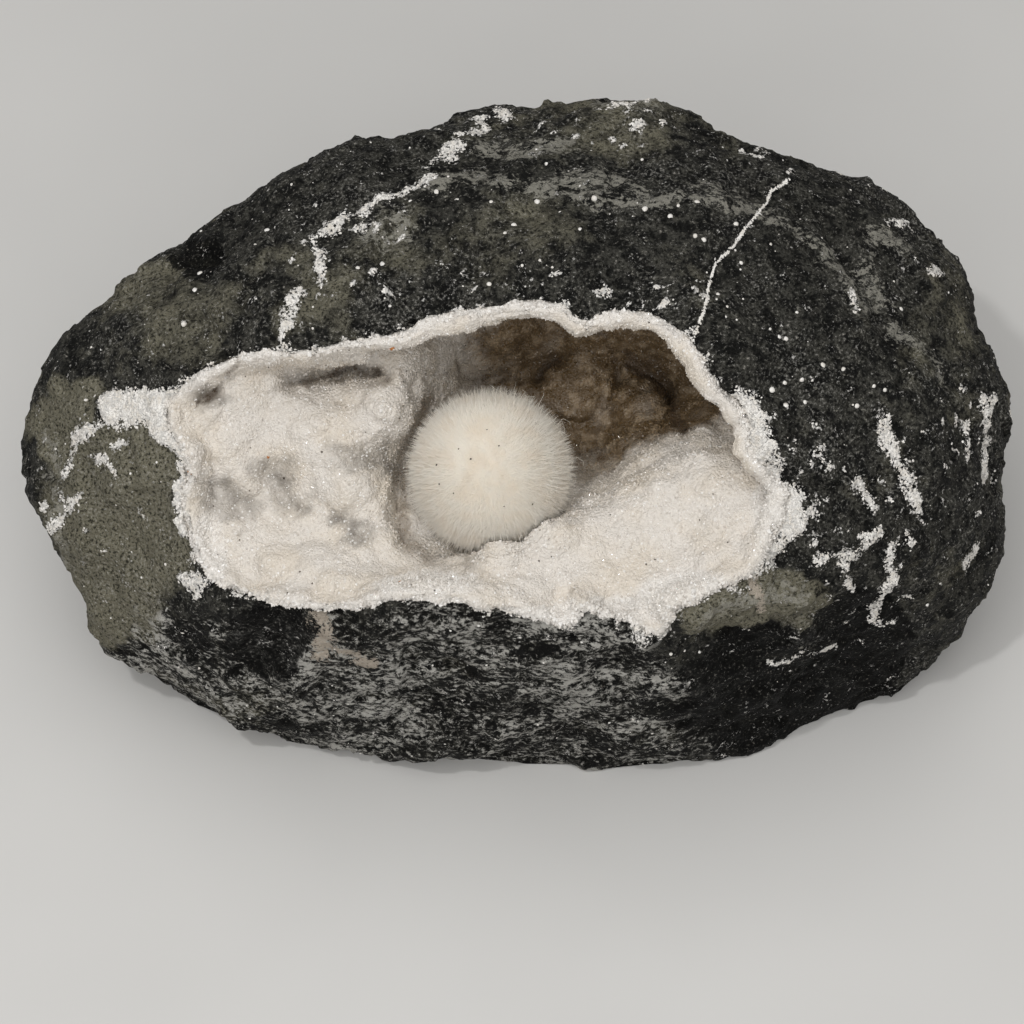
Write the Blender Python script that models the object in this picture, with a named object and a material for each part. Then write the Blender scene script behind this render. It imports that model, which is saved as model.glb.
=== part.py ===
# Okenite puffball in a drusy vug of a basalt nodule.
#
# The stone is described as one looks into its vug: u runs right, v runs up the face and w comes
# out of it, in millimetres from the middle of the stone. LEAN then lays the stone on its flat
# underside, with the vug looking up and to the front (-Y).
import math

import bmesh
import bpy
import numpy as np
from mathutils import Vector, noise

MM = 0.001

# Driving dimensions, in millimetres and degrees
LEAN = 55.0  # angle between the vug's line of sight and the ground
VIEW_DISTANCE = 565.0  # distance at which the outlines below were sighted
STONE_MIDDLE = Vector((0.0, 0.0, -8.0))
BASE_DEPTH = 33.2  # from the stone's middle down to the flat underside
SHARPNESS = 18.0  # of the ridges where two faces of the stone meet
ROUGHNESS = 0.011  # height of the stone's lumps, as a share of its radius
LUMP_SIZE = 0.22  # of those lumps, as a share of the radius

BALL_CENTRE = Vector((-3.2, -4.0, 12.0))
BALL_RADIUS = 10.9  # out to the tips of the fibres
BALL_SEGMENTS = 24
BALL_RINGS = 14
NEST = 0.6  # how deep the ball is let into the crust under it

VUG_CENTRE = (-5.0, -4.0)
VUG_COLUMNS = 58  # points around the rim
WALL_STEPS = (0.25, 0.5, 0.75, 1.0)  # rings of the wall, from the lip down to the floor's edge
FLOOR_STEPS = (0.90, 0.80, 0.70, 0.60, 0.50, 0.41, 0.32, 0.23, 0.14, 0.06)
OUTER_FLOOR_STEPS = (0.86, 0.72, 0.57, 0.43, 0.29, 0.14)
EDGE_BLEND = 0.15  # share of the floor over which it eases into the foot of the wall
LEAST_WALL = 1.0  # least height of that wall
ENVELOPE_TURNS = 10  # directions in which the crust's thickness is measured
CRUST = 3.1  # thickness of the crystal crust
GAP = 0.35  # left between pieces that touch
RIM_WIDTH = 2.4
RIM_CREST = 0.7  # how far the middle of the crust's rim stands out of the broken face
RIM_SHOULDER = 0.4  # the same at the rim's outer edge
RIM_DIP = 0.4  # how far its inner edge lies below that face
CUTTER_REACH = 12.0  # how far the cutter of the vug stands out of the face
FOOT_INSET = 3.4  # from the rim's outer edge to the foot of a wall that doesn't overhang
MOUND_HEIGHT = 0.9
MOUND_SIZE = 6.0

# The stone's outline, sighted from the front and listed anticlockwise from its right tip
OUTLINE = [
    (65.1, -3.0), (64.2, 6.0), (60.5, 17.0), (56.0, 26.0), (50.0, 33.5), (41.0, 36.5), (27.0, 41.0),
    (17.0, 44.6), (6.0, 43.5), (-3.0, 43.2), (-15.0, 40.5), (-23.5, 38.6), (-34.5, 31.8),
    (-42.5, 27.0), (-54.0, 19.0), (-60.2, 12.8), (-63.8, 5.3), (-65.0, -6.5), (-60.5, -12.5),
    (-58.0, -20.0), (-52.0, -29.0), (-44.0, -35.5), (-34.0, -39.5), (-24.0, -41.0),
    (-10.0, -42.5), (8.5, -45.0), (24.5, -46.0), (38.5, -42.3), (49.0, -35.5), (59.0, -27.0),
    (62.5, -19.5), (64.4, -9.0),
]

# The faces that break the nodule's roundness: direction (u, v, w) and distance from its middle
FACES = {
    "broken face": ((0.0, 0.05, 1.0), 31.0),
    "left of the vug": ((-0.33, 0.0, 0.944), 36.0),
    "right of the vug": ((0.43, 0.0, 0.90), 40.5),
    "above the vug": ((0.0, 0.52, 0.85), 34.5),
    "crown": ((0.05, 0.83, 0.56), 38.0),
    "front wall": ((-0.04, -0.86, 0.51), 34.6),
    "dark corner": ((0.42, -0.78, 0.46), 41.0),
    "olive corner": ((-0.50, -0.66, 0.55), 44.5),
    "olive side": ((-0.72, -0.08, 0.69), 46.5),
    "upper left flank": ((-0.42, 0.60, 0.68), 41.0),
    "upper right flank": ((0.56, 0.50, 0.66), 45.5),
    "right flank": ((0.86, -0.05, 0.50), 54.0),
    "lower right flank": ((0.80, -0.42, 0.42), 55.0),
    "back wall": ((0.0, 0.74, -0.67), 34.0),
    "heel": ((0.0, 0.28, -0.96), 29.0),
    "back right": ((0.72, 0.10, -0.69), 47.5),
    "back left": ((-0.74, 0.08, -0.67), 47.0),
}

# The outer edge of the crystal crust, sighted from the front, anticlockwise from its right end
RIM = [
    (31.0, -1.5), (31.0, 2.0), (30.5, 4.9), (27.8, 6.2), (25.6, 8.9), (24.5, 12.2), (21.8, 14.8),
    (17.9, 17.2), (13.9, 17.2), (11.3, 15.9), (8.6, 15.9), (7.0, 17.8), (2.5, 18.7), (-2.0, 18.1),
    (-6.0, 17.5), (-11.3, 16.2), (-15.9, 14.0), (-22.5, 13.4), (-28.0, 12.0), (-34.0, 12.2),
    (-39.7, 10.6), (-43.0, 7.8), (-46.0, 6.2), (-46.8, 3.5), (-45.5, 0.5), (-43.2, -1.8),
    (-43.2, -4.0), (-44.4, -8.0), (-43.2, -13.0), (-41.5, -17.0), (-36.4, -20.3), (-29.8, -21.2),
    (-25.0, -22.4), (-19.2, -21.3), (-9.9, -20.9), (-5.0, -21.6), (0.7, -22.7), (7.3, -24.4),
    (10.2, -21.8), (14.5, -24.0), (19.2, -26.0), (21.8, -21.8), (27.1, -19.6), (31.5, -17.3),
    (34.4, -13.0), (36.2, -7.0), (33.5, -3.8),
]

# Depths of the lining's surface, each at its place on the face
FLOOR = {
    "left lobe, outer end": (-41.0, -3.5, 13.0),
    "left lobe, lower end": (-41.0, -11.0, 14.5),
    "left lobe, mouth of the tail": (-43.0, 4.0, 14.0),
    "left hollow": (-38.0, -6.5, 9.5),
    "middle hollow": (-31.0, -6.5, 8.5),
    "saddle between the hollows": (-35.0, -5.0, 11.0),
    "shelf above the hollows": (-34.0, 3.0, 12.0),
    "shelf under the upper left lip": (-36.0, 9.0, 13.5),
    "shelf below the hollows": (-34.0, -13.0, 13.0),
    "slot under the upper lip": (-23.5, 9.0, 8.0),
    "shelf below the slot": (-26.0, 2.5, 12.0),
    "bulge of the shelf": (-21.5, -4.0, 13.5),
    "shelf at the cliff": (-14.5, 3.0, 12.0),
    "upper end of the cliff": (-13.5, 9.0, 11.0),
    "shelf left of the ball": (-17.5, -7.0, 11.0),
    "lower shelf": (-24.0, -12.5, 12.5),
    "left front slope": (-29.0, -17.0, 15.5),
    "left front edge": (-36.0, -17.0, 16.5),
    "foot of the cliff": (-9.5, 4.5, -3.0),
    "gap left of the ball": (-13.0, -6.0, 3.5),
    "gap below left of the ball": (-11.5, -13.0, 9.5),
    "seat of the ball": (-3.0, -4.0, 1.5),
    "front slope below the ball": (-4.0, -16.5, 16.0),
    "front edge, left": (-22.0, -19.0, 19.5),
    "front edge, middle": (-3.0, -20.0, 21.0),
    "front edge, right": (17.0, -22.0, 21.5),
    "crest right of the ball": (5.0, -12.5, 14.5),
    "crest, middle": (11.5, -7.5, 12.5),
    "crest, upper": (17.0, -3.5, 11.0),
    "crest, right end": (24.5, -0.5, 11.5),
    "right front slope": (12.5, -16.0, 17.5),
    "right slope": (21.0, -11.0, 16.0),
    "right shoulder": (29.0, -6.0, 17.5),
    "right edge": (31.5, -12.0, 20.0),
    "pocket, behind the crest": (11.0, -1.5, -6.0),
    "pocket, right of the ball": (9.0, 4.0, -9.0),
    "pocket, back wall": (5.0, 12.0, -7.0),
    "pocket, upper left mound": (-8.5, 10.5, -2.0),
    "pocket, above the ball": (-1.0, 9.0, -7.0),
    "pocket, roof": (-2.0, 20.0, 2.0),
    "pocket, middle": (17.0, 7.0, -10.0),
    "pocket, right": (23.5, 5.5, -7.5),
    "pocket, far right": (33.0, 5.0, 3.0),
    "pocket, upper right": (20.0, 17.5, 2.0),
}
FLOOR_SOFTNESS = 1.5  # radius over which the floor rounds off at each of those places

OVERHANG = 4.5  # how far the pocket runs on behind its lip
OVERHANG_FROM = -12.0  # the overhanging stretch of the lip, in degrees about the vug's centre
OVERHANG_TO = 135.0

LINE_OF_SIGHT = Vector((0.0, -math.cos(math.radians(LEAN)), math.sin(math.radians(LEAN))))
UP_THE_FACE = Vector((0.0, math.sin(math.radians(LEAN)), math.cos(math.radians(LEAN))))
BASE_HEIGHT = STONE_MIDDLE.z * LINE_OF_SIGHT.z - BASE_DEPTH


def to_ground(points):
    """Turn points (u, v, w) of the face into x, y, z over the ground, still in millimetres."""
    points = np.asarray(points, dtype=float)
    rows = np.array([(1.0, 0.0, 0.0), tuple(UP_THE_FACE), tuple(LINE_OF_SIGHT)])
    return points @ rows


def at_depth(points, depth):
    """Sighted points shrink as they come nearer to the eye."""
    nearness = 1.0 - np.asarray(depth) / VIEW_DISTANCE
    return np.asarray(points, dtype=float) * np.reshape(nearness, (-1, 1))


def polar_lookup(points, angles):
    """Distance of a closed outline from its middle at each angle."""
    points = np.asarray(points)
    point_angles = np.arctan2(points[:, 1], points[:, 0])
    order = np.argsort(point_angles)
    radii = np.hypot(points[:, 0], points[:, 1])
    return np.interp(angles, point_angles[order], radii[order], period=2.0 * math.pi)


STONE_OUTLINE = at_depth(OUTLINE, STONE_MIDDLE.z)
FACE_DIRECTIONS = [Vector(direction).normalized() for direction, distance in FACES.values()]
FACE_DISTANCES = [distance for direction, distance in FACES.values()]


def smooth_stone_radius(directions):
    """Distance from the stone's middle to its smooth skin along each unit direction."""
    total = np.zeros(len(directions))
    for face, distance in zip(FACE_DIRECTIONS, FACE_DISTANCES):
        total += np.maximum(directions @ np.array(face) / distance, 0.0) ** SHARPNESS
    across = np.hypot(directions[:, 0], directions[:, 1])
    angles = np.arctan2(directions[:, 1], directions[:, 0])
    total += (across / polar_lookup(STONE_OUTLINE, angles)) ** SHARPNESS
    return total ** (-1.0 / SHARPNESS)


def stretch_table():
    """How much the faces pull the outline in at each angle, so that it can be set right."""
    angles = np.radians(np.arange(-180.0, 180.0, 5.0))
    tilts = np.radians(np.arange(-60.0, 61.0, 2.0))
    widest = []
    for angle in angles:
        directions = np.stack([
            np.cos(tilts) * math.cos(angle),
            np.cos(tilts) * math.sin(angle),
            np.sin(tilts),
        ], axis=1)
        widest.append(np.max(smooth_stone_radius(directions) * np.cos(tilts)))
    return angles, polar_lookup(STONE_OUTLINE, angles) / np.array(widest)


STRETCH_ANGLES, STRETCHES = stretch_table()


def stretch_at(u, v):
    return np.interp(np.arctan2(v, u), STRETCH_ANGLES, STRETCHES, period=2.0 * math.pi)


def lumps(direction):
    """Unevenness of the stone in one direction, as a share of its radius."""
    place = Vector(direction) / LUMP_SIZE
    coarse = noise.noise(place * 0.5)
    fine = noise.noise(place * 1.3 + Vector((7.0, 3.0, 5.0)))
    return ROUGHNESS * (coarse + 0.8 * fine)


def stone_skin(directions):
    """Points of the stone's rough skin, in u, v, w."""
    radii = smooth_stone_radius(directions)
    radii *= 1.0 + np.array([lumps(direction) for direction in directions])
    points = directions * radii[:, None]
    stretch = stretch_at(points[:, 0], points[:, 1])
    points[:, 0] *= stretch
    points[:, 1] *= stretch
    return points + np.array(STONE_MIDDLE)


def skin_depth(u, v):
    """Height w of the stone's front skin over one place of the face."""
    stretch = float(stretch_at(u, v))
    inside, outside = 0.0, 80.0
    for _ in range(30):
        middle = (inside + outside) / 2.0
        place = Vector((u / stretch, v / stretch, middle))
        direction = np.array([place.normalized()])
        reach = float(smooth_stone_radius(direction)[0]) * (1.0 + lumps(direction[0]))
        if place.length < reach:
            inside = middle
        else:
            outside = middle
    return STONE_MIDDLE.z + inside


def even_points(outline, count):
    """A closed outline sampled again at equal steps."""
    points = np.array(outline + outline[:1])
    steps = np.hypot(*np.diff(points, axis=0).T)
    along = np.concatenate([[0.0], np.cumsum(steps)])
    wanted = np.linspace(0.0, along[-1], count, endpoint=False)
    return np.stack([np.interp(wanted, along, points[:, axis]) for axis in (0, 1)], axis=1)


def rim_on_stone():
    """The crust's outer edge laid on the stone's front skin."""
    seen = even_points(RIM, VUG_COLUMNS)
    depths = np.array([skin_depth(u, v) for u, v in seen])
    placed = at_depth(seen, depths)
    depths = np.array([skin_depth(u, v) for u, v in placed])
    return np.column_stack([placed, depths])


def under_ball(u, v):
    """How high the lining may stand at a place beneath the ball."""
    reach = BALL_RADIUS + GAP
    across = math.hypot(u - BALL_CENTRE.x, v - BALL_CENTRE.y)
    if across >= reach:
        return math.inf
    return BALL_CENTRE.z - math.sqrt(reach ** 2 - across ** 2) + NEST


def floor_sheet():
    """The named places, and the weights of a smooth sheet through them."""
    places = np.array(list(FLOOR.values()))
    apart = np.hypot(
        places[:, None, 0] - places[None, :, 0],
        places[:, None, 1] - places[None, :, 1],
    )
    level = places[:, 2].mean()
    return places, level, np.linalg.solve(np.hypot(apart, FLOOR_SOFTNESS), places[:, 2] - level)


FLOOR_PLACES, FLOOR_LEVEL, FLOOR_WEIGHTS = floor_sheet()


def floor_depth(u, v):
    """Depth of the lining, on a smooth sheet through the named places."""
    apart = np.hypot(FLOOR_PLACES[:, 0] - u, FLOOR_PLACES[:, 1] - v)
    sheet = FLOOR_LEVEL + float(np.hypot(apart, FLOOR_SOFTNESS) @ FLOOR_WEIGHTS)
    return min(sheet, under_ball(u, v))


def floor_under(u, v, thickness):
    """Depth of the surface that lies a crust's thickness below the floor on every side."""
    lowest = floor_depth(u, v) - thickness
    for share in (0.5, 0.9):
        reach = thickness * share
        drop = math.sqrt(thickness ** 2 - reach ** 2)
        for turn in range(ENVELOPE_TURNS):
            angle = 2.0 * math.pi * turn / ENVELOPE_TURNS
            beside = floor_depth(u + reach * math.cos(angle), v + reach * math.sin(angle))
            lowest = min(lowest, beside - drop)
    return lowest


def mounds(u, v, w):
    """Rounded swellings of the crust."""
    place = Vector((u, v, w)) / MOUND_SIZE
    return MOUND_HEIGHT * noise.noise(place)


def overhang_at(u, v):
    """How far the pocket runs on behind the lip in the direction of a rim point."""
    angle = math.degrees(math.atan2(v - VUG_CENTRE[1], u - VUG_CENTRE[0]))
    along = (angle - OVERHANG_FROM) / (OVERHANG_TO - OVERHANG_FROM)
    if along <= 0.0 or along >= 1.0:
        return 0.0
    return OVERHANG * min(1.0, 3.0 * math.sin(math.pi * along))


def toward_centre(point, inset):
    """Move a rim point (u, v, w) level toward the vug's centre."""
    u, v, w = point
    centre_u, centre_v = VUG_CENTRE
    reach = math.hypot(u - centre_u, v - centre_v)
    share = 1.0 - inset / reach
    return centre_u + (u - centre_u) * share, centre_v + (v - centre_v) * share, w


def wall_foot(point):
    """Where the wall below a rim point meets the floor."""
    overhang = overhang_at(point[0], point[1])
    u, v, w = toward_centre(point, FOOT_INSET - overhang)
    return u, v, min(floor_depth(u, v), w - LEAST_WALL)


def outer_wall_foot(point):
    """The same place on the far side of the crust."""
    inner = wall_foot(point)
    u, v, w = toward_centre(inner, -CRUST)
    return u, v, min(floor_under(u, v, CRUST), inner[2] - CRUST)


def wall_rings(lip, feet):
    """Rings of a wall that bulges outward on its way from the lip down to the floor's edge."""
    rings = []
    for step in WALL_STEPS:
        bulge = math.sin(step * math.pi / 2.0)
        ring = []
        for top, foot in zip(lip, feet):
            u = top[0] + (foot[0] - top[0]) * bulge
            v = top[1] + (foot[1] - top[1]) * bulge
            w = top[2] + (foot[2] - top[2]) * step
            ring.append((u, v, w))
        rings.append(ring)
    return rings


def floor_rings(feet, steps, depth_at):
    """Rings of the floor, from beside its edge to beside the vug's centre."""
    centre_u, centre_v = VUG_CENTRE
    rings = []
    for step in steps:
        ring = []
        for foot in feet:
            u = centre_u + (foot[0] - centre_u) * step
            v = centre_v + (foot[1] - centre_v) * step
            blend = min(1.0, (1.0 - step) / EDGE_BLEND)
            w = foot[2] + (depth_at(u, v) - foot[2]) * blend
            ring.append((u, v, w))
        rings.append(ring)
    middle = (centre_u, centre_v, depth_at(centre_u, centre_v))
    return rings, middle


def lumpy_floor(u, v):
    depth = floor_depth(u, v)
    return depth + mounds(u, v, depth)


def under_floor(u, v):
    return floor_under(u, v, CRUST)


def outer_bowl(rim):
    """The hollow in the stone: rings from its edge to its floor, and the floor's middle point."""
    walls = wall_rings(rim, [outer_wall_foot(point) for point in rim])
    floors, middle = floor_rings(walls[-1], OUTER_FLOOR_STEPS, under_floor)
    return [rim] + walls + floors, middle


def inner_bowl(rim, lip):
    """The lining's free surface: rings below its lip, and the floor's middle point."""
    walls = wall_rings(lip, [wall_foot(point) for point in rim])
    floors, middle = floor_rings(walls[-1], FLOOR_STEPS, lumpy_floor)
    return walls + floors, middle


def add_ring(mesh, ring):
    return [mesh.verts.new(point) for point in ring]


def bridge(mesh, upper, lower):
    """A band of triangles between two rings of the same count."""
    count = len(upper)
    for index in range(count):
        following = (index + 1) % count
        mesh.faces.new((upper[index], lower[index], lower[following]))
        mesh.faces.new((upper[index], lower[following], upper[following]))


def close_ring(mesh, ring, point):
    """A fan of triangles from a ring to one point."""
    tip = mesh.verts.new(point)
    count = len(ring)
    for index in range(count):
        mesh.faces.new((ring[index], tip, ring[(index + 1) % count]))
    return tip


def drawn_in(rings, middle, distance):
    """The same bowl with its whole surface moved inward."""
    mesh = bmesh.new()
    rows = [add_ring(mesh, ring) for ring in rings]
    for upper, lower in zip(rows, rows[1:]):
        bridge(mesh, upper, lower)
    tip = close_ring(mesh, rows[-1], middle)
    mesh.normal_update()
    inward = math.copysign(distance, tip.normal.z)
    moved = [[tuple(vertex.co + vertex.normal * inward) for vertex in row] for row in rows]
    moved_middle = tuple(tip.co + tip.normal * inward)
    mesh.free()
    return moved, moved_middle


def drop_to_ground(mesh):
    """Turn a mesh built in u, v, w, in millimetres, into one over the ground, in metres."""
    ground = to_ground([tuple(vertex.co) for vertex in mesh.verts])
    for vertex, place in zip(mesh.verts, ground):
        vertex.co = Vector(place) * MM


def make_material(name, colour, roughness):
    material = bpy.data.materials.new(name)
    material.use_nodes = True
    shader = material.node_tree.nodes["Principled BSDF"]
    shader.inputs["Base Color"].default_value = (*colour, 1.0)
    shader.inputs["Roughness"].default_value = roughness
    shader.inputs["Metallic"].default_value = 0.0
    return material


def make_object(name, mesh, material=None):
    """Turn a bmesh into a named object with its faces pointing out."""
    bmesh.ops.recalc_face_normals(mesh, faces=mesh.faces)
    data = bpy.data.meshes.new(name)
    mesh.to_mesh(data)
    mesh.free()
    thing = bpy.data.objects.new(name, data)
    bpy.context.scene.collection.objects.link(thing)
    if material:
        data.materials.append(material)
    return thing


def cut(thing, cutter):
    """Take a cutter's shape out of a piece."""
    modifier = thing.modifiers.new("cut by " + cutter.name, "BOOLEAN")
    modifier.operation = "DIFFERENCE"
    modifier.solver = "EXACT"
    modifier.object = cutter
    cutter.hide_render = True
    cutter.display_type = "WIRE"


def make_stone():
    """The basalt nodule, before the vug is cut."""
    mesh = bmesh.new()
    bmesh.ops.create_icosphere(mesh, subdivisions=5, radius=1.0)
    directions = np.array([tuple(vertex.co.normalized()) for vertex in mesh.verts])
    for vertex, place in zip(mesh.verts, stone_skin(directions)):
        vertex.co = place
    drop_to_ground(mesh)
    everything = mesh.verts[:] + mesh.edges[:] + mesh.faces[:]
    cut_open = bmesh.ops.bisect_plane(
        mesh, geom=everything, plane_co=(0.0, 0.0, BASE_HEIGHT * MM), plane_no=(0.0, 0.0, 1.0),
        clear_inner=True,
    )
    edges = [item for item in cut_open["geom_cut"] if isinstance(item, bmesh.types.BMEdge)]
    bmesh.ops.holes_fill(mesh, edges=edges)
    bmesh.ops.triangulate(mesh, faces=[face for face in mesh.faces if len(face.verts) > 3])
    basalt = make_material("basalt", (0.028, 0.028, 0.025), 0.85)
    return make_object("basalt_matrix", mesh, basalt)


def make_vug_cutter(rim):
    """The hollow that the crust fills."""
    rings, middle = outer_bowl(rim)
    above = [(u, v, w + CUTTER_REACH) for u, v, w in rim]
    mesh = bmesh.new()
    rows = [add_ring(mesh, ring) for ring in [above] + rings]
    for upper, lower in zip(rows, rows[1:]):
        bridge(mesh, upper, lower)
    close_ring(mesh, rows[-1], middle)
    close_ring(mesh, rows[0][::-1], (*VUG_CENTRE, max(point[2] for point in above)))
    drop_to_ground(mesh)
    return make_object("vug_cutter", mesh)


def make_druse(rim):
    """The crust: an outer wall against the stone, a raised rim and the lumpy inner surface."""
    rings, middle = outer_bowl(rim)
    outer, outer_middle = drawn_in(rings, middle, GAP)
    edge = outer[0]
    top = [(u, v, w + RIM_SHOULDER) for u, v, w in edge]
    crest = [toward_centre((u, v, w + RIM_CREST), RIM_WIDTH / 2.0) for u, v, w in rim]
    lip = [toward_centre((u, v, w - RIM_DIP), RIM_WIDTH) for u, v, w in rim]
    inner, inner_middle = inner_bowl(rim, lip)
    mesh = bmesh.new()
    against_stone = [add_ring(mesh, ring) for ring in outer]
    free = [add_ring(mesh, ring) for ring in [top, crest, lip] + inner]
    for rows in (against_stone, against_stone[:1] + free):
        for upper, lower in zip(rows, rows[1:]):
            bridge(mesh, upper, lower)
    close_ring(mesh, against_stone[-1], outer_middle)
    close_ring(mesh, free[-1], inner_middle)
    drop_to_ground(mesh)
    druse = make_material("quartz druse", (0.70, 0.65, 0.60), 0.45)
    return make_object("quartz_druse", mesh, druse)


def make_ball(name, radius, material=None):
    """A ball in the place of the puffball."""
    mesh = bmesh.new()
    bmesh.ops.create_uvsphere(
        mesh, u_segments=BALL_SEGMENTS, v_segments=BALL_RINGS, radius=radius * MM,
    )
    centre = Vector(to_ground([tuple(BALL_CENTRE)])[0]) * MM
    bmesh.ops.translate(mesh, verts=mesh.verts, vec=centre)
    return make_object(name, mesh, material)


def make_puffball():
    okenite = make_material("okenite", (0.74, 0.68, 0.58), 0.9)
    ball = make_ball("okenite_puffball", BALL_RADIUS, okenite)
    ball.data.shade_smooth()
    return ball


def centre_over_origin(stone, things):
    """Shift the pieces so that the stone stands on z = 0 with its box centred on the axis."""
    corners = np.array([tuple(vertex.co) for vertex in stone.data.vertices])
    low = corners.min(axis=0)
    high = corners.max(axis=0)
    shift = Vector(((low[0] + high[0]) / 2.0, (low[1] + high[1]) / 2.0, low[2]))
    for thing in things:
        for vertex in thing.data.vertices:
            vertex.co -= shift


def main():
    for thing in list(bpy.data.objects):
        bpy.data.objects.remove(thing)
    rim = rim_on_stone()
    stone = make_stone()
    vug = make_vug_cutter(rim)
    druse = make_druse(rim)
    ball = make_puffball()
    seat = make_ball("seat_cutter", BALL_RADIUS + GAP)
    cut(stone, vug)
    cut(druse, seat)
    centre_over_origin(stone, [stone, vug, druse, ball, seat])


main()
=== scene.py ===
# The looks of a puffball of okenite in a white druse, inside a broken basalt nodule.
# Lengths are in mm and become metres when a mesh is made.
# A picture point is (pixels right, pixels down) in a 1024 by 1024 picture.
import math
import time

import bpy
import numpy as np
from mathutils import Matrix, Vector
from mathutils.bvhtree import BVHTree
from mathutils.kdtree import KDTree


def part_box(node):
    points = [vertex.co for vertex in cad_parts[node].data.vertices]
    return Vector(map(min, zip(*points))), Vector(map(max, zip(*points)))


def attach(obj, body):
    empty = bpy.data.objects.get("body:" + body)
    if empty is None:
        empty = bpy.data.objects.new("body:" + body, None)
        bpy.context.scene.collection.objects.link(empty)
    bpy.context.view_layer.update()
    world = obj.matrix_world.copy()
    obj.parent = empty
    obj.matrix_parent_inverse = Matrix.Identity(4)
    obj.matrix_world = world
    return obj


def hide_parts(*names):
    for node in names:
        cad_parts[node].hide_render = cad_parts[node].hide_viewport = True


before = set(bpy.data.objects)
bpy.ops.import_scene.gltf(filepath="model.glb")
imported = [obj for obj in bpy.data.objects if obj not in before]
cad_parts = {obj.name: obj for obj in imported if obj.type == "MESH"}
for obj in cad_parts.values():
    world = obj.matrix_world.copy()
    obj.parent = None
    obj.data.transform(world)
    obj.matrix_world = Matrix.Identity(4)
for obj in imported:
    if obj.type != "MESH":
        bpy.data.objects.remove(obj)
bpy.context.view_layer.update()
started = time.time()
mm = 0.001
justAbove = 0.02  # how far off a surface its rays start

# How the camera looks at the open face of the vug
look = {
    "leanBack": 55.0,  # degrees between the open face and upright
    "distance": 565.0,  # from the camera to the plane of the face
    "pixel": 0.1324,  # what one pixel covers on that plane
    "straightAhead": (515, 442),  # the picture point where the camera meets the plane squarely
    "ballOnFace": (-3.2, -4.0, 12.0),  # the ball's middle: right, up and out from that point
    "pictureSide": 1024,  # pixels
    "filmWidth": 36.0,
}

lean = math.radians(look["leanBack"])
faceRight = np.array([1.0, 0.0, 0.0])
faceUp = np.array([0.0, math.sin(lean), math.cos(lean)])
faceOut = np.array([0.0, -math.cos(lean), math.sin(lean)])
faceAxes = np.array([faceRight, faceUp, faceOut])
ballLow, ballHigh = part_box("okenite_puffball")
ballMiddle = np.array((ballLow + ballHigh) / 2) / mm
ballRadius = (ballHigh.x - ballLow.x) / 2 / mm
faceMiddle = ballMiddle - np.array(look["ballOnFace"]) @ faceAxes
cameraPlace = faceMiddle + faceOut * look["distance"]


def report(words):
    print(f"[{time.time() - started:5.1f} s] {words}")


# Places on the object and in the picture


def onFace(point):  # right, up and out on the face
    return (point - faceMiddle) @ faceAxes.T


def toPicture(points):
    right, up, out = onFace(points).T
    nearer = look["distance"] / (look["distance"] - out) / look["pixel"]
    x, y = look["straightAhead"]
    return np.stack([x + right * nearer, y - up * nearer], 1)


def throughPicture(x, y):  # which way the camera looks through a picture point
    right = (x - look["straightAhead"][0]) * look["pixel"]
    up = (look["straightAhead"][1] - y) * look["pixel"]
    return unit(faceMiddle + faceRight * right + faceUp * up - cameraPlace)


def lineDistance(pixels, line):  # pixels between each picture point and a line of picture points
    least = np.full(len(pixels), np.inf)
    corners = np.array(line, float)
    for start, end in zip(corners[:-1], corners[1:]):
        along = end - start
        share = np.clip((pixels - start) @ along / (along @ along), 0, 1)
        least = np.minimum(least, np.linalg.norm(pixels - start - share[:, None] * along, axis=1))
    return least


def groove(pixels, line, width):  # 1 on a line of picture points, fading softly to both sides
    return np.exp(-((lineDistance(pixels, line) / width) ** 2))


def inPatch(pixels, middle, size):  # 1 in the middle of an oval patch, 0 at its edge and beyond
    away = (pixels - np.array(middle, float)) / np.array(size, float)
    return np.clip(1 - (away**2).sum(1), 0, 1)


def lineMarks(pixels, lines):  # 1 on any of the lines, 0 at their half width
    return np.max([np.clip(1 - lineDistance(pixels, line) / width, 0, 1) for line, width in lines], 0)


def patchMarks(pixels, patches):
    return np.max([inPatch(pixels, middle, size) for middle, size in patches], 0)


def wobbled(points, pixels, reach, size, seed):  # shifts picture points a little, for ragged edges
    shift = np.stack([layeredNoise(points, size, 3, seed), layeredNoise(points, size, 3, seed + 50)], 1)
    return pixels + shift * reach


def smoothStep(value, low, high):
    share = np.clip((value - low) / (high - low), 0, 1)
    return share * share * (3 - 2 * share)


# Noise that is the same on every run


def cornerNumber(cells, seed):  # -1 to 1, always the same for one corner of the grid
    x, y, z = cells.astype(np.uint64).T
    number = x * np.uint64(73856093) ^ y * np.uint64(19349663) ^ z * np.uint64(83492791)
    number = number ^ np.uint64(seed * 2654435761)
    number = (number ^ (number >> np.uint64(13))) * np.uint64(1274126177)
    number = (number ^ (number >> np.uint64(16))) & np.uint64(0xFFFFFF)
    return number.astype(float) / 0xFFFFFF * 2 - 1


def softNoise(points, size, seed):  # lumps of one size, about -1 to 1
    spots = points / size + 1000.0
    cells = np.floor(spots).astype(np.int64)
    inside = spots - cells
    eased = inside**3 * (inside * (inside * 6 - 15) + 10)
    total = np.zeros(len(points))
    for corner in np.ndindex(2, 2, 2):
        slope = np.stack([cornerNumber(cells + corner, seed + turn) for turn in (0, 101, 202)], 1)
        weight = np.where(corner, eased, 1 - eased).prod(1)
        total += weight * (slope * (inside - corner)).sum(1)
    return total * 1.5


def layeredNoise(points, size, layers, seed):  # each layer half the size and half the height
    total = np.zeros(len(points))
    for layer in range(layers):
        total += softNoise(points, size / 2**layer, seed + layer * 7) / 2**layer
    return total


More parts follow.
